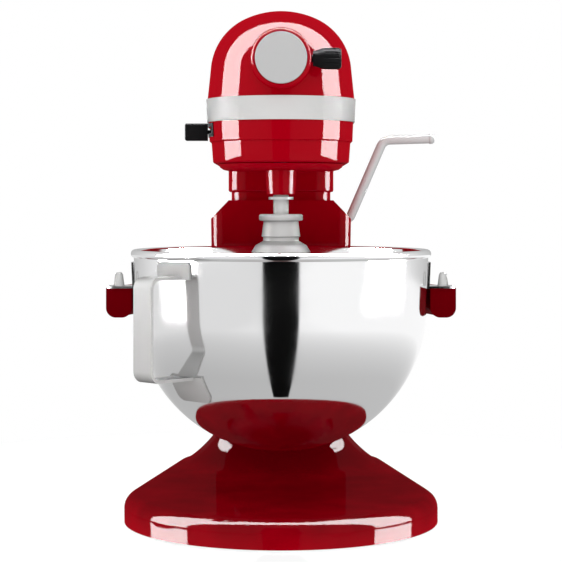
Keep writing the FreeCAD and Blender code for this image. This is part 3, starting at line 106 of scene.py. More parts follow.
class MixerSettings(bpy.types.PropertyGroup):
    """Sizes, colours and light of the mixer."""

    paint_colour: bpy.props.FloatVectorProperty(
        name="Paint", description="Colour of the red enamel under its clear coat",
        subtype="COLOR", size=3, min=0, max=1, default=(0.5, 0.0, 0.009))
    # Painted shade: the darker enamel tone laid on the foot's slope and the column, where the bowl
    # shades them.
    painted_shade_colour: bpy.props.FloatVectorProperty(
        name="Painted shade", description="Darker tone of the enamel low on the column",
        subtype="COLOR", size=3, min=0, max=1, default=(0.17, 0.0, 0.003))
    steel_colour: bpy.props.FloatVectorProperty(
        name="Bowl steel", description="Colour of the polished steel",
        subtype="COLOR", size=3, min=0, max=1, default=(0.93, 0.93, 0.935))
    satin_colour: bpy.props.FloatVectorProperty(
        name="Satin metal", description="Colour of the trim band, whip hub, handle and pins",
        subtype="COLOR", size=3, min=0, max=1, default=(0.9, 0.9, 0.89))
    cap_colour: bpy.props.FloatVectorProperty(
        name="Hub cap", description="Colour of the cap of the attachment hub",
        subtype="COLOR", size=3, min=0, max=1, default=(0.68, 0.68, 0.68))
    bead_radius: bpy.props.FloatProperty(
        name="Rim bead", description="Radius of the rolled edge of the bowl",
        unit="LENGTH", min=0.001, default=3.3 * MM)
    wall_thickness: bpy.props.FloatProperty(
        name="Bowl wall", description="Thickness of the bowl's steel",
        unit="LENGTH", min=0.0005, default=1.6 * MM)
    studio_strength: bpy.props.FloatProperty(
        name="Studio light", description="Brightness of the light round the mixer", min=0, default=1.0)
    camera_distance: bpy.props.FloatProperty(
        name="Camera distance", description="From the bowl's axis to the camera",
        unit="LENGTH", default=1.4)
    camera_height: bpy.props.FloatProperty(
        name="Camera height", description="Height of the lens above the floor",
        unit="LENGTH", default=0.2616)


def settings():
    """The scene's values of the settings above."""
    return bpy.context.scene.mixer


# Mesh tools.

def pen_line(bm, vert, offset):
    """Draws a straight edge from vert and returns its far end."""
    made = bmesh.ops.extrude_vert_indiv(bm, verts=[vert])
    tip = made["verts"][0]
    tip.co = vert.co + offset
    return tip


def pen_arc(bm, vert, centre, degrees, steps, axis=Y_AXIS):
    """Draws an arc from vert round centre and returns its far end."""
    made = bmesh.ops.spin(bm, geom=[vert], cent=centre, axis=axis, dvec=Vector(), steps=steps,
                          angle=math.radians(degrees), use_duplicate=False)
    return made["geom_last"][0]


def spun(bm, centre, axis, steps=160):
    """Turns the drawn outline once round an axis and closes it."""
    bmesh.ops.spin(bm, geom=bm.verts[:] + bm.edges[:], cent=centre, axis=axis, dvec=Vector(),
                   angle=math.tau, steps=steps, use_merge=True, use_duplicate=False)
    bmesh.ops.remove_doubles(bm, verts=bm.verts[:], dist=POLE_MERGE)
    bmesh.ops.recalc_face_normals(bm, faces=bm.faces[:])


def sharpen(bm, degrees):
    """Shades the faces smooth and keeps edges that turn more than the given angle crisp."""
    limit = math.radians(degrees)
    for face in bm.faces:
        face.smooth = True
    for edge in bm.edges:
        edge.smooth = edge.calc_face_angle(0.0) < limit


def finished(bm, name, material, body, nodes=(), degrees=CREASE):
    """Makes the drawn mesh an object that rides on a body and stands for its CAD nodes."""
    sharpen(bm, degrees)
    mesh = bpy.data.meshes.new(name)
    bm.to_mesh(mesh)
    bm.free()
    mesh.materials.append(material)
    piece = bpy.data.objects.new(name, mesh)
    bpy.context.scene.collection.objects.link(piece)
    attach(piece, body)
    if nodes:
        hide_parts(*nodes)
    return piece


def skin(node, material, body, degrees=CREASE):
    """A CAD node's surface with its triangles joined and shaded smooth between crisp edges."""
    bm = bmesh.new()
    bm.from_mesh(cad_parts[node].data)
    bmesh.ops.remove_doubles(bm, verts=bm.verts[:], dist=MESH_MERGE)
    return finished(bm, node + "_skin", material, body, [node], degrees)


def dress(nodes, material):
    """Gives CAD nodes that keep their own mesh a finish."""
    for node in nodes:
        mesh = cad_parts[node].data
        mesh.materials.clear()
        mesh.materials.append(material)


# Node tools, and the effects that materials share.

def maths(tree, operation, amount=None, clamp=False):
    """A Math node, with its second number set where one is given."""
    node = tree.nodes.new("ShaderNodeMath")
    node.operation = operation
    node.use_clamp = clamp
    if amount is not None:
        node.inputs[1].default_value = amount
    return node


def ranged(tree, values=(0.0, 1.0), results=(0.0, 1.0), smooth=False):
    """A Map Range node from one pair of values to another."""
    node = tree.nodes.new("ShaderNodeMapRange")
    if smooth:
        node.interpolation_type = "SMOOTHSTEP"
    node.inputs["From Min"].default_value = values[0]
    node.inputs["From Max"].default_value = values[1]
    node.inputs["To Min"].default_value = results[0]
    node.inputs["To Max"].default_value = results[1]
    return node


def dimmed(colour, share):
    """The colour at a share of its brightness."""
    return [part * share for part in colour]


def new_group(name, inputs, outputs):
    """An empty shader node group with float or vector sockets."""
    group = bpy.data.node_groups.new(name, "ShaderNodeTree")
    for label, kind, default in inputs:
        socket = group.interface.new_socket(name=label, in_out="INPUT", socket_type=kind)
        if default is not None:
            socket.default_value = default
    for label, kind in outputs:
        group.interface.new_socket(name=label, in_out="OUTPUT", socket_type=kind)
    start = group.nodes.new("NodeGroupInput")
    end = group.nodes.new("NodeGroupOutput")
    return group, start, end


def shared_group(name, build):
    """The group of that name, built the first time it is asked for."""
    return bpy.data.node_groups.get(name) or build(name)


def build_grain(name):
    """Fine uneven grain: cast metal, moulded plastic, or the ripple of sprayed enamel."""
    group, start, end = new_group(
        name,
        [("Vector", "NodeSocketVector", None), ("Scale", "NodeSocketFloat", 400.0),
         ("Detail", "NodeSocketFloat", 3.0)],
        [("Height", "NodeSocketFloat")])
    noise = group.nodes.new("ShaderNodeTexNoise")
    links = group.links
    links.new(start.outputs["Vector"], noise.inputs["Vector"])
    links.new(start.outputs["Scale"], noise.inputs["Scale"])
    links.new(start.outputs["Detail"], noise.inputs["Detail"])
    links.new(noise.outputs["Fac"], end.inputs["Height"])
    return group


def build_smudge(name):
    """Slow drift of roughness between two values, as a wiped surface has."""
    group, start, end = new_group(
        name,
        [("Vector", "NodeSocketVector", None), ("Scale", "NodeSocketFloat", 18.0),
         ("Low", "NodeSocketFloat", 0.1), ("High", "NodeSocketFloat", 0.2)],
        [("Value", "NodeSocketFloat"), ("Mask", "NodeSocketFloat")])
    noise = group.nodes.new("ShaderNodeTexNoise")
    noise.inputs["Detail"].default_value = 4.0
    spread = ranged(group, (0.35, 0.65))
    links = group.links
    links.new(start.outputs["Vector"], noise.inputs["Vector"])
    links.new(start.outputs["Scale"], noise.inputs["Scale"])
    links.new(noise.outputs["Fac"], spread.inputs["Value"])
    links.new(start.outputs["Low"], spread.inputs["To Min"])
    links.new(start.outputs["High"], spread.inputs["To Max"])
    links.new(spread.outputs["Result"], end.inputs["Value"])
    links.new(noise.outputs["Fac"], end.inputs["Mask"])
    return group


def build_painted_height_shade(name):
    """Mask of a painted shade by height: 1 above High and at the floor, 0 from Floor to Low, with a
    slight drift.
    """
    group, start, end = new_group(
        name,
        [("Vector", "NodeSocketVector", None), ("Floor", "NodeSocketFloat", 0.02),
         ("Low", "NodeSocketFloat", 0.1), ("High", "NodeSocketFloat", 0.3)],
        [("Mask", "NodeSocketFloat")])
    split = group.nodes.new("ShaderNodeSeparateXYZ")
    noise = group.nodes.new("ShaderNodeTexNoise")
    noise.inputs["Scale"].default_value = 30.0
    drift = maths(group, "MULTIPLY_ADD", 0.02)
    spread = ranged(group, smooth=True)
    foot = ranged(group, results=(1.0, 0.0), smooth=True)
    both = maths(group, "MAXIMUM")
    links = group.links
    links.new(start.outputs["Vector"], split.inputs["Vector"])
    links.new(start.outputs["Vector"], noise.inputs["Vector"])
    links.new(noise.outputs["Fac"], drift.inputs[0])
    links.new(split.outputs["Z"], drift.inputs[2])
    links.new(drift.outputs["Value"], spread.inputs["Value"])
    links.new(start.outputs["Low"], spread.inputs["From Min"])
    links.new(start.outputs["High"], spread.inputs["From Max"])
    links.new(drift.outputs["Value"], foot.inputs["Value"])
    links.new(start.outputs["Floor"], foot.inputs["From Max"])
    links.new(spread.outputs["Result"], both.inputs[0])
    links.new(foot.outputs["Result"], both.inputs[1])
    links.new(both.outputs["Value"], end.inputs["Mask"])
    return group


def build_lines(name):
    """Brushed lines: noise drawn out along the directions with a small stretch value."""
    group, start, end = new_group(
        name,
        [("Vector", "NodeSocketVector", None), ("Stretch", "NodeSocketVector", (20.0, 20.0, 1500.0))],
        [("Height", "NodeSocketFloat")])
    stretch = group.nodes.new("ShaderNodeVectorMath")
    stretch.operation = "MULTIPLY"
    noise = group.nodes.new("ShaderNodeTexNoise")
    noise.inputs["Scale"].default_value = 1.0
    noise.inputs["Detail"].default_value = 5.0
    links = group.links
    links.new(start.outputs["Vector"], stretch.inputs[0])
    links.new(start.outputs["Stretch"], stretch.inputs[1])
    links.new(stretch.outputs["Vector"], noise.inputs["Vector"])
    links.new(noise.outputs["Fac"], end.inputs["Height"])
    return group


def build_rings(name):
    """Turning marks: fine rings round the local Z axis, from the distance to it and the height."""
    group, start, end = new_group(
        name,
        [("Vector", "NodeSocketVector", None), ("Scale", "NodeSocketFloat", 900.0)],
        [("Height", "NodeSocketFloat")])
    split = group.nodes.new("ShaderNodeSeparateXYZ")
    flat = group.nodes.new("ShaderNodeCombineXYZ")
    length = group.nodes.new("ShaderNodeVectorMath")
    length.operation = "LENGTH"
    pair = group.nodes.new("ShaderNodeCombineXYZ")
    noise = group.nodes.new("ShaderNodeTexNoise")
    noise.inputs["Detail"].default_value = 4.0
    links = group.links
    links.new(start.outputs["Vector"], split.inputs["Vector"])
    links.new(split.outputs["X"], flat.inputs["X"])
    links.new(split.outputs["Y"], flat.inputs["Y"])
    links.new(flat.outputs["Vector"], length.inputs[0])
    links.new(length.outputs["Value"], pair.inputs["X"])
    links.new(split.outputs["Z"], pair.inputs["Y"])
    links.new(pair.outputs["Vector"], noise.inputs["Vector"])
    links.new(start.outputs["Scale"], noise.inputs["Scale"])
    links.new(noise.outputs["Fac"], end.inputs["Height"])
    return group


class Finish:
    """A material with one Principled shader and tools to hang patterns on it."""

    def __init__(self, name, colour, roughness, metallic=0.0, coat=0.0, coat_roughness=0.03):
        self.material = bpy.data.materials.new(name)
        self.material.use_nodes = True
        self.nodes = self.material.node_tree.nodes
        self.links = self.material.node_tree.links
        self.shader = self.nodes["Principled BSDF"]
        self.shader.inputs["Base Color"].default_value = (*colour, 1.0)
        self.shader.inputs["Roughness"].default_value = roughness
        self.shader.inputs["Metallic"].default_value = metallic
        self.shader.inputs["Coat Weight"].default_value = coat
        self.shader.inputs["Coat Roughness"].default_value = coat_roughness
        self.place = self.nodes.new("ShaderNodeTexCoord").outputs["Object"]

    def centred(self, centre, turn=(0.0, 0.0, 0.0)):
        """Moves the pattern's origin to a point of the mixer and turns it."""
        mapping = self.nodes.new("ShaderNodeMapping")
        mapping.vector_type = "TEXTURE"
        mapping.inputs["Location"].default_value = centre
        mapping.inputs["Rotation"].default_value = turn
        self.links.new(self.place, mapping.inputs["Vector"])
        self.place = mapping.outputs["Vector"]
        return self

    def effect(self, group_name, build, **values):
        """Places a shared group with this material's own values."""
        node = self.nodes.new("ShaderNodeGroup")
        node.node_tree = shared_group(group_name, build)
        self.links.new(self.place, node.inputs["Vector"])
        for label, value in values.items():
            node.inputs[label].default_value = value
        return node

    def bump(self, height, distance, strength):
        """Raises the surface by a height pattern."""
        node = self.nodes.new("ShaderNodeBump")
        node.inputs["Distance"].default_value = distance
        node.inputs["Strength"].default_value = strength
        self.links.new(height, node.inputs["Height"])
        self.links.new(node.outputs["Normal"], self.shader.inputs["Normal"])
        return self

    def smudged(self, low, high, scale):
        """Lets the roughness drift between two values."""
        node = self.effect("Smudges", build_smudge, Scale=scale, Low=low, High=high)
        self.links.new(node.outputs["Value"], self.shader.inputs["Roughness"])
        return node

    def painted_rim_shade(self, middle, rim, power):
        """Painted light and shade: one tone where the surface faces the eye and another where it turns
        away.
        """
        facing = self.nodes.new("ShaderNodeLayerWeight")
        facing.inputs["Blend"].default_value = power
        return self.two_toned(facing.outputs["Facing"], middle, rim)

    def two_toned(self, mask, first, second):
        """Mixes two colours by a mask."""
        mix = self.nodes.new("ShaderNodeMix")
        mix.data_type = "RGBA"
        mix.inputs["A"].default_value = (*first, 1.0)
        mix.inputs["B"].default_value = (*second, 1.0)
        self.links.new(mask, mix.inputs["Factor"])
        self.links.new(mix.outputs["Result"], self.shader.inputs["Base Color"])
        return self


# Materials.

def red_enamel():
    """Red enamel with painted shade low on the column, under a thin clear coat that shows only bright
    lights.
    """
    s = settings()
    finish = Finish("red enamel", s.paint_colour, 0.32, coat=0.022, coat_roughness=0.01)
    finish.shader.inputs["Coat IOR"].default_value = 3.0
    finish.shader.inputs["Specular IOR Level"].default_value = 0.0
    finish.smudged(0.28, 0.36, 30.0)
    # Painted shade: the enamel darkens from the foot's slope up to below the column's top, in the bowl's
    # shade.
    tone = finish.effect("Painted height shade", build_painted_height_shade, Floor=FOOT_Z, Low=SEAT_Z, High=CASE_Z)
    finish.two_toned(tone.outputs["Mask"], s.painted_shade_colour, s.paint_colour)
    ripple = finish.effect("Grain", build_grain, Scale=160.0, Detail=1.0)
    finish.bump(ripple.outputs["Height"], 0.00002, 0.35)
    return finish.material


def bowl_steel():
    """Polished spun steel with faint turning marks round the bowl's axis."""
    s = settings()
    finish = Finish("polished bowl steel", s.steel_colour, 0.08, metallic=1.0).centred(BOWL_AXIS)
    finish.smudged(0.045, 0.11, 22.0)
    rings = finish.effect("Turned rings", build_rings, Scale=1400.0)
    finish.bump(rings.outputs["Height"], 0.000012, 0.25)
    return finish.material


def polished_steel():
    """Bright drawn steel."""
    s = settings()
    finish = Finish("polished steel", s.steel_colour, 0.14, metallic=1.0)
    finish.smudged(0.1, 0.2, 40.0)
    grain = finish.effect("Grain", build_grain, Scale=900.0, Detail=2.0)
    finish.bump(grain.outputs["Height"], 0.00002, 0.2)
    return finish.material


def satin_band():
    """Satin band brushed along its length, a matt tone with painted shade darkening its rims."""
    s = settings()
    finish = Finish("satin band", s.satin_colour, 0.36)
    finish.shader.inputs["Specular IOR Level"].default_value = 0.02
    finish.smudged(0.33, 0.42, 30.0)
    # Painted shade: the band's colour darkens where it turns away from the eye.
    finish.painted_rim_shade(s.satin_colour, dimmed(s.satin_colour, 0.14), 0.45)
    lines = finish.effect("Brushed lines", build_lines, Stretch=(30.0, 30.0, 4200.0))
    finish.bump(lines.outputs["Height"], 0.00003, 0.3)
    return finish.material


def satin_cap():
    """Matt cap with turning marks round the hub."""
    s = settings()
    finish = Finish("satin cap", s.cap_colour, 0.5)
    finish.shader.inputs["Specular IOR Level"].default_value = 0.02
    finish.centred((0, 0, HUB_Z), (math.pi / 2, 0, 0))
    finish.smudged(0.32, 0.42, 40.0)
    rings = finish.effect("Turned rings", build_rings, Scale=2600.0)
    finish.bump(rings.outputs["Height"], 0.00003, 0.4)
    return finish.material


def satin_alloy():
    """Whip hub, handle, shaft and brackets: lightly blasted, a matt tone with painted shade darkening
    its rims.
    """
    s = settings()
    finish = Finish("satin alloy", s.satin_colour, 0.3)
    finish.shader.inputs["Specular IOR Level"].default_value = 0.02
    finish.smudged(0.26, 0.4, 60.0)
    # Painted shade: the colour darkens towards the rims.
    finish.painted_rim_shade(s.satin_colour, dimmed(s.satin_colour, 0.1), 0.6)
    grain = finish.effect("Grain", build_grain, Scale=1500.0, Detail=4.0)
    finish.bump(grain.outputs["Height"], 0.00004, 0.4)
    return finish.material


def chrome():
    """Plated rods, with a painted highlight along the middle and painted shade grey at the rims."""
    finish = Finish("chrome", (0.9, 0.9, 0.9), 0.3)
    finish.shader.inputs["Specular IOR Level"].default_value = 0.05
    finish.smudged(0.2, 0.32, 50.0)
    # Painted highlight along the middle and painted shade at the rims, in place of a plated rod's
    # reflections.
    finish.painted_rim_shade((0.95, 0.98, 0.98), (0.3, 0.32, 0.32), 0.5)
    lines = finish.effect("Brushed lines", build_lines, Stretch=(900.0, 900.0, 30.0))
    finish.bump(lines.outputs["Height"], 0.00001, 0.15)
    return finish.material


def machined_steel():
    """Turned and ground steel."""
    finish = Finish("machined steel", (0.5, 0.5, 0.52), 0.34, metallic=1.0)
    finish.smudged(0.26, 0.42, 60.0)
    lines = finish.effect("Brushed lines", build_lines, Stretch=(300.0, 300.0, 2500.0))
    finish.bump(lines.outputs["Height"], 0.00003, 0.3)
    return finish.material


def bronze():
    """Bearing bronze, unevenly toned."""
    finish = Finish("bearing bronze", (0.6, 0.4, 0.19), 0.34, metallic=1.0)
    drift = finish.smudged(0.28, 0.45, 70.0)
    finish.two_toned(drift.outputs["Mask"], (0.5, 0.31, 0.13), (0.66, 0.46, 0.24))
    return finish.material


def copper():
    """Copper of the commutator, unevenly toned."""
    finish = Finish("copper", (0.7, 0.36, 0.2), 0.3, metallic=1.0)
    drift = finish.smudged(0.24, 0.4, 70.0)
    finish.two_toned(drift.outputs["Mask"], (0.58, 0.27, 0.14), (0.75, 0.42, 0.26))
    return finish.material


def black_plastic():
    """Moulded plastic with a fine spark-eroded grain."""
    finish = Finish("black plastic", (0.014, 0.014, 0.015), 0.36)
    finish.shader.inputs["Specular IOR Level"].default_value = 0.01
    drift = finish.smudged(0.3, 0.42, 60.0)
    finish.two_toned(drift.outputs["Mask"], (0.011, 0.011, 0.012), (0.02, 0.02, 0.021))
    grain = finish.effect("Grain", build_grain, Scale=2600.0, Detail=3.0)
    finish.bump(grain.outputs["Height"], 0.00006, 0.35)
    return finish.material


def black_rubber():
    """Moulded rubber with a dull, coarse skin."""
    finish = Finish("black rubber", (0.02, 0.02, 0.02), 0.75)
    finish.shader.inputs["Specular IOR Level"].default_value = 0.01
    drift = finish.smudged(0.66, 0.85, 50.0)
    finish.two_toned(drift.outputs["Mask"], (0.014, 0.014, 0.014), (0.03, 0.03, 0.03))
    grain = finish.effect("Grain", build_grain, Scale=1200.0, Detail=4.0)
    finish.bump(grain.outputs["Height"], 0.0001, 0.4)
    return finish.material


def circuit_board():
    """Board under a green lacquer."""
    finish = Finish("circuit board", (0.02, 0.16, 0.07), 0.45, coat=0.02)
    finish.shader.inputs["Specular IOR Level"].default_value = 0.01
    drift = finish.smudged(0.38, 0.55, 90.0)
    finish.two_toned(drift.outputs["Mask"], (0.012, 0.12, 0.05), (0.03, 0.2, 0.09))
    return finish.material


MAKERS = {
    "red_paint": red_enamel,
    "bowl_steel": bowl_steel,
    "polished_steel": polished_steel,
    "satin_band": satin_band,
    "satin_cap": satin_cap,
    "satin_alloy": satin_alloy,
    "chrome_rod": chrome,
    "steel": machined_steel,
    "bronze": bronze,
    "copper": copper,
    "black_plastic": black_plastic,
    "black_rubber": black_rubber,
    "board_green": circuit_board,
}
_made = {}


def finish_of(name):
    """The named material, made once."""
    if name not in _made:
        _made[name] = MAKERS[name]()
    return _made[name]


# Pieces.

class MixerOperator(bpy.types.Operator):
    """What the operators of the pieces share"""
    bl_options = {"REGISTER"}


class MIXER_OT_base(MixerOperator):
    """Foot casting with its rubber pads and floor plate"""
    bl_idname = "mixer.base"
    bl_label = "Base"

    def execute(self, context):
        skin("base_casting", finish_of("red_paint"), "stand")
        skin("rubber_feet", finish_of("black_rubber"), "stand")
        skin("bottom_plate", finish_of("steel"), "stand")
        dress(["foot_screws"], finish_of("steel"))
        return {"FINISHED"}


class MIXER_OT_column(MixerOperator):
    """Column, guide rods, brackets and grommet"""
    bl_idname = "mixer.column"
    bl_label = "Column"

    def execute(self, context):
        skin("column_casting", finish_of("red_paint"), "stand")
        skin("guide_rods", finish_of("chrome_rod"), "stand")
        skin("guide_brackets", finish_of("satin_alloy"), "stand")
        skin("lift_bush", finish_of("bronze"), "stand")
        skin("cord_grommet", finish_of("black_rubber"), "stand")
        return {"FINISHED"}


class MIXER_OT_head(MixerOperator):
    """Gear case, motor housing, rear cover and trim band"""
    bl_idname = "mixer.head"
    bl_label = "Head"

    def execute(self, context):
        for node in ("gear_case", "upper_housing", "rear_cover"):
            skin(node, finish_of("red_paint"), "stand")
        skin("trim_band", finish_of("satin_band"), "stand")
        skin("speed_plate", finish_of("black_plastic"), "stand")
        skin("cover_screw", finish_of("chrome_rod"), "stand")
        skin("hub_liner", finish_of("steel"), "stand")
        return {"FINISHED"}


class MIXER_OT_hub(MixerOperator):
    """Cap of the attachment hub and the thumb screw beside it"""
    bl_idname = "mixer.hub"
    bl_label = "Attachment hub"

    def execute(self, context):
        bm = bmesh.new()
        depth = CAP_HIGH.y - CAP_LOW.y
        centre = Vector((0, 0, HUB_Z))
        tip = bm.verts.new((0, CAP_LOW.y, HUB_Z))
        tip = pen_line(bm, tip, X_AXIS * (CAP_RADIUS - CAP_EDGE))
        tip = pen_arc(bm, tip, tip.co + Y_AXIS * CAP_EDGE, 90, 6, Z_AXIS)
        tip = pen_line(bm, tip, Y_AXIS * (depth - CAP_EDGE))
        pen_line(bm, tip, X_AXIS * -CAP_RADIUS)
        spun(bm, centre, Y_AXIS, 128)
        finished(bm, "hub_cap_disc", finish_of("satin_cap"), "cap", ["hub_cap"], 50)
        skin("attachment_knob", finish_of("black_plastic"), "thumb_screw")
        skin("knob_screw", finish_of("black_plastic"), "thumb_screw")
        return {"FINISHED"}


class MIXER_OT_levers(MixerOperator):
    """Speed lever knob and bowl lift lever"""
    bl_idname = "mixer.levers"
    bl_label = "Levers"

    def execute(self, context):
        skin("speed_knob", finish_of("black_plastic"), "speed_lever")
        dress(["speed_arm"], finish_of("black_plastic"))
        skin("lift_rod", finish_of("chrome_rod"), "lift_lever", 60)
        skin("lift_grip", finish_of("chrome_rod"), "lift_lever", 60)
        dress(["lift_crank"], finish_of("steel"))
        return {"FINISHED"}


class MIXER_OT_beater(MixerOperator):
    """Planetary cover, beater shaft and wire whip"""
    bl_idname = "mixer.beater"
    bl_label = "Beater"

    def execute(self, context):
        skin("planetary_cover", finish_of("red_paint"), "planetary")
        skin("beater_shaft", finish_of("satin_alloy"), "beater_drive")
        skin("shaft_washer", finish_of("satin_alloy"), "beater_drive")
        skin("cross_pin", finish_of("steel"), "beater_drive")
        skin("whip_hub", finish_of("satin_alloy"), "whip")
        skin("whip_wires", finish_of("polished_steel"), "whip", 60)
        return {"FINISHED"}


def on_side(centre, radius, degrees):
    """The point on the bowl's round side so many degrees below its centre's level."""
    turn = math.radians(degrees)
    return Vector((centre.x + radius * math.cos(turn), centre.y, centre.z - radius * math.sin(turn)))


def draw_bowl(bm, bead, wall):
    """Half of the bowl's section: out along the base, up the side, round the bead and back inside."""
    radius = RIM_OUTER - bead - BEAD_OVERHANG
    bead_centre = Vector((RIM_OUTER - bead, BOWL_AXIS.y, BOWL_HIGH.z - bead))
    centre = Vector((0, BOWL_AXIS.y, bead_centre.z - BOWL_CENTRE_DROP))
    base_depth = centre.z - BOWL_LOW.z
    base_angle = math.degrees(math.asin(base_depth / radius))
    tip = bm.verts.new((0, BOWL_AXIS.y, BOWL_LOW.z))
    tip = pen_line(bm, tip, on_side(centre, radius, base_angle) - tip.co)
    tip = pen_arc(bm, tip, centre, BOWL_FLARE - base_angle, 36)
    join = math.radians(BEAD_START)
    bead_low = bead_centre + Vector((math.sin(join), 0, -math.cos(join))) * bead
    tip = pen_line(bm, tip, bead_low - tip.co)
    tip = pen_arc(bm, tip, bead_centre, -BEAD_TURN, 20)
    inner_radius = radius - wall
    inner_angle = math.degrees(math.asin((base_depth - wall) / inner_radius))
    tip = pen_line(bm, tip, on_side(centre, inner_radius, BOWL_FLARE) - tip.co)
    tip = pen_arc(bm, tip, centre, inner_angle - BOWL_FLARE, 36)
    pen_line(bm, tip, Vector((-tip.co.x, 0, 0)))


class MIXER_OT_bowl(MixerOperator):
    """Spun steel bowl with its handle, ears and stud"""
    bl_idname = "mixer.bowl"
    bl_label = "Bowl"

    def execute(self, context):
        s = settings()
        bm = bmesh.new()
        draw_bowl(bm, s.bead_radius, s.wall_thickness)
        spun(bm, BOWL_AXIS, Z_AXIS, 192)
        finished(bm, "bowl_body", finish_of("bowl_steel"), "bowl", ["bowl_shell"], 40)
        skin("bowl_handle", finish_of("satin_alloy"), "bowl")
        skin("bowl_ears", finish_of("polished_steel"), "bowl")
        skin("rear_stud", finish_of("polished_steel"), "bowl")
        return {"FINISHED"}


class MIXER_OT_yoke(MixerOperator):
    """Lifting yoke with its locating pins and catch"""
    bl_idname = "mixer.yoke"
    bl_label = "Yoke"

    def execute(self, context):
        skin("bowl_yoke", finish_of("red_paint"), "yoke")
        skin("locating_pins", finish_of("satin_alloy"), "yoke")
        skin("latch_spring", finish_of("steel"), "yoke")
        dress(["lift_tail", "tail_screws"], finish_of("steel"))
        dress(["slide_bushes"], finish_of("bronze"))
        return {"FINISHED"}


class MIXER_OT_inside(MixerOperator):
    """Finishes of the pieces inside the head"""
    bl_idname = "mixer.inside"
    bl_label = "Inner pieces"

    def execute(self, context):
        dress(["ring_gear", "centre_shaft", "face_gear", "planet_pinion", "motor_shaft", "armature_core",
               "motor_pinion", "hub_drive_shaft", "hub_pinion", "motor_stator", "motor_bolts",
               "head_bolts"], finish_of("steel"))
        dress(["centre_bush", "planet_bush", "hub_bearing", "brush_holders"], finish_of("bronze"))
        dress(["commutator"], finish_of("copper"))
        dress(["motor_bridges"], finish_of("satin_alloy"))
        dress(["motor_fan"], finish_of("black_plastic"))
        dress(["control_board"], finish_of("board_green"))
        return {"FINISHED"}


# Stage.

# Light by angle from the lens, as (degrees, level): what shines back in gloss, and what lights the rest.
MIRRORED_GAIN = 110.0
MIRRORED_LIGHT = (
    (13, 0.0), (16, 0.0055), (25, 0.0068), (40, 0.0078), (70.3, 0.0082),
    (71, 1.0), (107, 1.0),
    (108, 0.0078), (135, 0.006), (180, 0.004))
SOFT_LIGHT = ((10, 0.5), (60, 0.95), (100, 1.1), (180, 0.9))

# The floor, by distance from the middle of the stage in metres. It runs out to white, and in mirror
# images it is a card that glows with painted light, changing from left to right and outwards, and which
# has an end.
FLOOR_RADIUS = 30.0
WHITE_REACH = (0.1, 0.5)
WHITE_SHARE = (0.85, 1.0)
CARD_SIDES = (-0.5, 0.5)
CARD_SIDE_LIGHT = (0.76, 1.0)
CARD_REACH = (0.25, 0.75)
CARD_REACH_LIGHT = (0.58, 1.0)
CARD_END = (2.6, 2.8)
# The card is left out of mirror images of floor that is nearer to the polished surface than this.
CARD_GAP = (0.09, 0.1)

# The dark sheet, a painted dark reflection, lies before the mixer, widening towards the camera, and
# stands up at its far end.
SHEET_GAP = 8 * MM
SHEET_LIFT = 0.5 * MM
SHEET_REACH = 2.4
SHEET_HEIGHT = 2.2
SHEET_HALF_ANGLE = 13.5
SHEET_NEAR_SHARE = 0.45

CAMERA_SENSOR = 36.0
CAMERA_LENS = 108.9
CAMERA_SHIFT = -0.139


def light_ramp(tree, share, stops, strength):
    """Light of a grey level that follows the angle from the lens."""
    ramp = tree.nodes.new("ShaderNodeValToRGB")
    elements = ramp.color_ramp.elements
    elements.remove(elements[0])
    for index, (degrees, level) in enumerate(stops):
        element = elements[0] if index == 0 else elements.new(degrees / 180)
        element.position = degrees / 180
        element.color = (level, level, level, 1)
    glow = tree.nodes.new("ShaderNodeBackground")
    glow.inputs["Strength"].default_value = strength
    tree.links.new(share, ramp.inputs["Fac"])
    tree.links.new(ramp.outputs["Color"], glow.inputs["Color"])
    return glow.outputs["Background"]


def studio_world(context):
    """Light by its angle from the lens: dark in front, pale round it, and a bright ring at the sides.

    Only a first mirror image shows the ring. Soft light falls on all else, and the camera sees white.
    """
    world = bpy.data.worlds.new("studio")
    context.scene.world = world
    world.use_nodes = True
    tree = world.node_tree
    nodes = tree.nodes
    nodes.clear()
    strength = settings().studio_strength
    out = nodes.new("ShaderNodeOutputWorld")
    place = nodes.new("ShaderNodeTexCoord")
    front = nodes.new("ShaderNodeVectorMath")
    front.operation = "DOT_PRODUCT"
    front.inputs[1].default_value = -Y_AXIS
    angle = maths(tree, "ARCCOSINE")
    share = maths(tree, "DIVIDE", math.pi)
    mirrored = light_ramp(tree, share.outputs["Value"], MIRRORED_LIGHT, strength * MIRRORED_GAIN)
    soft = light_ramp(tree, share.outputs["Value"], SOFT_LIGHT, strength)
    white = nodes.new("ShaderNodeBackground")
    white.inputs["Color"].default_value = (1, 1, 1, 1)
    path = nodes.new("ShaderNodeLightPath")
    repeats = maths(tree, "SUBTRACT", 1.0, clamp=True)
    indirect = maths(tree, "ADD")
    direct = maths(tree, "SUBTRACT", clamp=True)
    glossy = nodes.new("ShaderNodeMixShader")
    seen = nodes.new("ShaderNodeMixShader")
    links = tree.links
    links.new(place.outputs["Generated"], front.inputs[0])
    links.new(front.outputs["Value"], angle.inputs[0])
    links.new(angle.outputs["Value"], share.inputs[0])
    links.new(path.outputs["Glossy Depth"], repeats.inputs[0])
    links.new(path.outputs["Diffuse Depth"], indirect.inputs[0])
    links.new(repeats.outputs["Value"], indirect.inputs[1])
    links.new(path.outputs["Is Glossy Ray"], direct.inputs[0])
    links.new(indirect.outputs["Value"], direct.inputs[1])
    links.new(direct.outputs["Value"], glossy.inputs["Fac"])
    links.new(soft, glossy.inputs[1])
    links.new(mirrored, glossy.inputs[2])
    links.new(path.outputs["Is Camera Ray"], seen.inputs["Fac"])
    links.new(glossy.outputs["Shader"], seen.inputs[1])
    links.new(white.outputs["Background"], seen.inputs[2])
    links.new(seen.outputs["Shader"], out.inputs["Surface"])


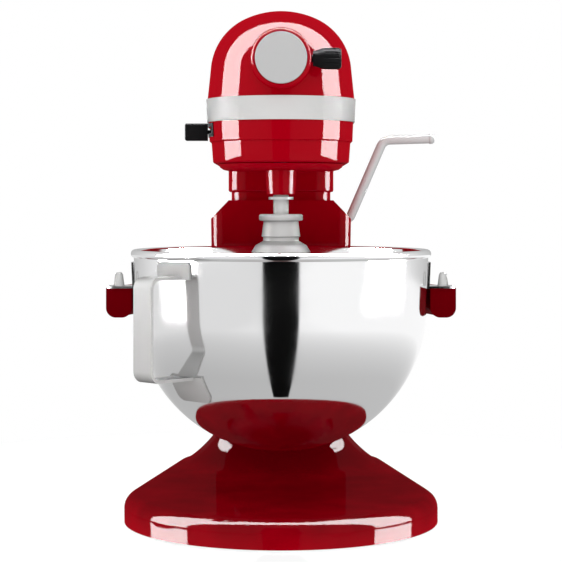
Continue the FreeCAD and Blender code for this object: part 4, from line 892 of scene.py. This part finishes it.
def floor_to_camera(tree, shader, distance, path):
    """A pale matt floor that runs out to plain white away from the mixer."""
    spread = ranged(tree, WHITE_REACH, WHITE_SHARE, smooth=True)
    both = maths(tree, "MULTIPLY")
    white = tree.nodes.new("ShaderNodeEmission")
    mix = tree.nodes.new("ShaderNodeMixShader")
    links = tree.links
    links.new(distance, spread.inputs["Value"])
    links.new(spread.outputs["Result"], both.inputs[0])
    links.new(path.outputs["Is Camera Ray"], both.inputs[1])
    links.new(both.outputs["Value"], mix.inputs["Fac"])
    links.new(shader.outputs["BSDF"], mix.inputs[1])
    links.new(white.outputs["Emission"], mix.inputs[2])
    return mix.outputs["Shader"]


def floor_in_mirrors(tree, place, distance, path):
    """A card that glows with painted light in mirror images, brighter to the right and outwards, with
    open air past its end and close by.
    """
    split = tree.nodes.new("ShaderNodeSeparateXYZ")
    side = ranged(tree, CARD_SIDES, CARD_SIDE_LIGHT)
    outward = ranged(tree, CARD_REACH, CARD_REACH_LIGHT)
    # Painted reflection of a lit floor: the card glows though it is no lamp.
    card = tree.nodes.new("ShaderNodeEmission")
    end = ranged(tree, CARD_END)
    gap = ranged(tree, CARD_GAP, (1.0, 0.0))
    clear = maths(tree, "MAXIMUM")
    open_air = tree.nodes.new("ShaderNodeBsdfTransparent")
    mix = tree.nodes.new("ShaderNodeMixShader")
    links = tree.links
    links.new(place, split.inputs["Vector"])
    links.new(split.outputs["X"], side.inputs["Value"])
    links.new(side.outputs["Result"], card.inputs["Color"])
    links.new(distance, outward.inputs["Value"])
    links.new(outward.outputs["Result"], card.inputs["Strength"])
    links.new(distance, end.inputs["Value"])
    links.new(path.outputs["Ray Length"], gap.inputs["Value"])
    links.new(end.outputs["Result"], clear.inputs[0])
    links.new(gap.outputs["Result"], clear.inputs[1])
    links.new(clear.outputs["Value"], mix.inputs["Fac"])
    links.new(card.outputs["Emission"], mix.inputs[1])
    links.new(open_air.outputs["BSDF"], mix.inputs[2])
    return mix.outputs["Shader"]


def floor_material():
    """One look of the floor for gloss, and another for everything else."""
    material = bpy.data.materials.new("pale floor")
    material.use_nodes = True
    tree = material.node_tree
    nodes = tree.nodes
    shader = nodes["Principled BSDF"]
    shader.inputs["Base Color"].default_value = (0.86, 0.86, 0.86, 1)
    shader.inputs["Roughness"].default_value = 0.6
    place = nodes.new("ShaderNodeTexCoord").outputs["Object"]
    length = nodes.new("ShaderNodeVectorMath")
    length.operation = "LENGTH"
    distance = length.outputs["Value"]
    path = nodes.new("ShaderNodeLightPath")
    mix = nodes.new("ShaderNodeMixShader")
    links = tree.links
    links.new(place, length.inputs[0])
    links.new(path.outputs["Is Glossy Ray"], mix.inputs["Fac"])
    links.new(floor_to_camera(tree, shader, distance, path), mix.inputs[1])
    links.new(floor_in_mirrors(tree, place, distance, path), mix.inputs[2])
    links.new(mix.outputs["Shader"], nodes["Material Output"].inputs["Surface"])
    return material


def stage_piece(bm, name, material):
    """Makes the drawn mesh a part of the studio."""
    mesh = bpy.data.meshes.new(name)
    bm.to_mesh(mesh)
    bm.free()
    mesh.materials.append(material)
    piece = bpy.data.objects.new(name, mesh)
    bpy.context.scene.collection.objects.link(piece)
    return piece


def painted_dark_sheet():
    """Dark sheet before the mixer, which only reflections show: a painted dark reflection."""
    material = bpy.data.materials.new("painted dark reflection")
    material.use_nodes = True
    shader = material.node_tree.nodes["Principled BSDF"]
    shader.inputs["Base Color"].default_value = (0.004, 0.004, 0.004, 1)
    shader.inputs["Roughness"].default_value = 1.0
    shader.inputs["Specular IOR Level"].default_value = 0.0
    near = CAD_BOX[0].y - SHEET_GAP
    far = BOWL_AXIS.y - SHEET_REACH
    half = math.tan(math.radians(SHEET_HALF_ANGLE))
    bm = bmesh.new()
    corners = []
    for y, share in ((near, SHEET_NEAR_SHARE), (far, 1.0)):
        for side in (-1, 1):
            corners.append(bm.verts.new((side * half * share * (BOWL_AXIS.y - y), y, SHEET_LIFT)))
    bm.faces.new((corners[0], corners[2], corners[3], corners[1]))
    far_edge = bm.edges.get((corners[2], corners[3]))
    made = bmesh.ops.extrude_edge_only(bm, edges=[far_edge])
    tops = [vert for vert in made["geom"] if isinstance(vert, bmesh.types.BMVert)]
    bmesh.ops.translate(bm, verts=tops, vec=Z_AXIS * SHEET_HEIGHT)
    flag = stage_piece(bm, "painted_dark_sheet", material)
    flag.visible_camera = False
    flag.visible_diffuse = False
    flag.visible_shadow = False
    flag.visible_transmission = False
    flag.visible_volume_scatter = False


class MIXER_OT_stage(MixerOperator):
    """Pale floor, soft studio light and camera"""
    bl_idname = "mixer.stage"
    bl_label = "Stage"

    def execute(self, context):
        s = settings()
        studio_world(context)
        bm = bmesh.new()
        bmesh.ops.create_circle(bm, cap_ends=True, segments=128, radius=FLOOR_RADIUS)
        stage_piece(bm, "floor", floor_material())
        painted_dark_sheet()
        camera = bpy.data.objects.new("camera", bpy.data.cameras.new("camera"))
        context.scene.collection.objects.link(camera)
        camera.location = (0, BOWL_AXIS.y - s.camera_distance, s.camera_height)
        camera.rotation_euler = (math.pi / 2, 0, 0)
        camera.data.sensor_width = CAMERA_SENSOR
        camera.data.lens = CAMERA_LENS
        camera.data.shift_y = CAMERA_SHIFT
        context.scene.camera = camera
        context.scene.view_settings.view_transform = "Standard"
        return {"FINISHED"}


class MIXER_PT_panel(bpy.types.Panel):
    """Lists the mixer's pieces and settings"""
    bl_idname = "MIXER_PT_panel"
    bl_label = "Stand mixer"
    bl_space_type = "VIEW_3D"
    bl_region_type = "UI"
    bl_category = "Mixer"

    def draw(self, context):
        column = self.layout.column()
        for name in MixerSettings.__annotations__:
            column.prop(context.scene.mixer, name)
        for operator in OPERATORS:
            column.operator(operator.bl_idname)


OPERATORS = (
    MIXER_OT_base,
    MIXER_OT_column,
    MIXER_OT_head,
    MIXER_OT_hub,
    MIXER_OT_levers,
    MIXER_OT_beater,
    MIXER_OT_bowl,
    MIXER_OT_yoke,
    MIXER_OT_inside,
    MIXER_OT_stage,
)
CLASSES = (MixerSettings, *OPERATORS, MIXER_PT_panel)


def register():
    """Adds the mixer's classes and settings to Blender."""
    for cls in CLASSES:
        bpy.utils.register_class(cls)
    bpy.types.Scene.mixer = bpy.props.PointerProperty(type=MixerSettings)


def unregister():
    """Takes them away again."""
    del bpy.types.Scene.mixer
    for cls in reversed(CLASSES):
        bpy.utils.unregister_class(cls)


def main():
    """Builds the mixer and its stage."""
    register()
    bpy.ops.mixer.base()
    bpy.ops.mixer.column()
    bpy.ops.mixer.head()
    bpy.ops.mixer.hub()
    bpy.ops.mixer.levers()
    bpy.ops.mixer.beater()
    bpy.ops.mixer.bowl()
    bpy.ops.mixer.yoke()
    bpy.ops.mixer.inside()
    bpy.ops.mixer.stage()


if __name__ == "__main__":
    main()
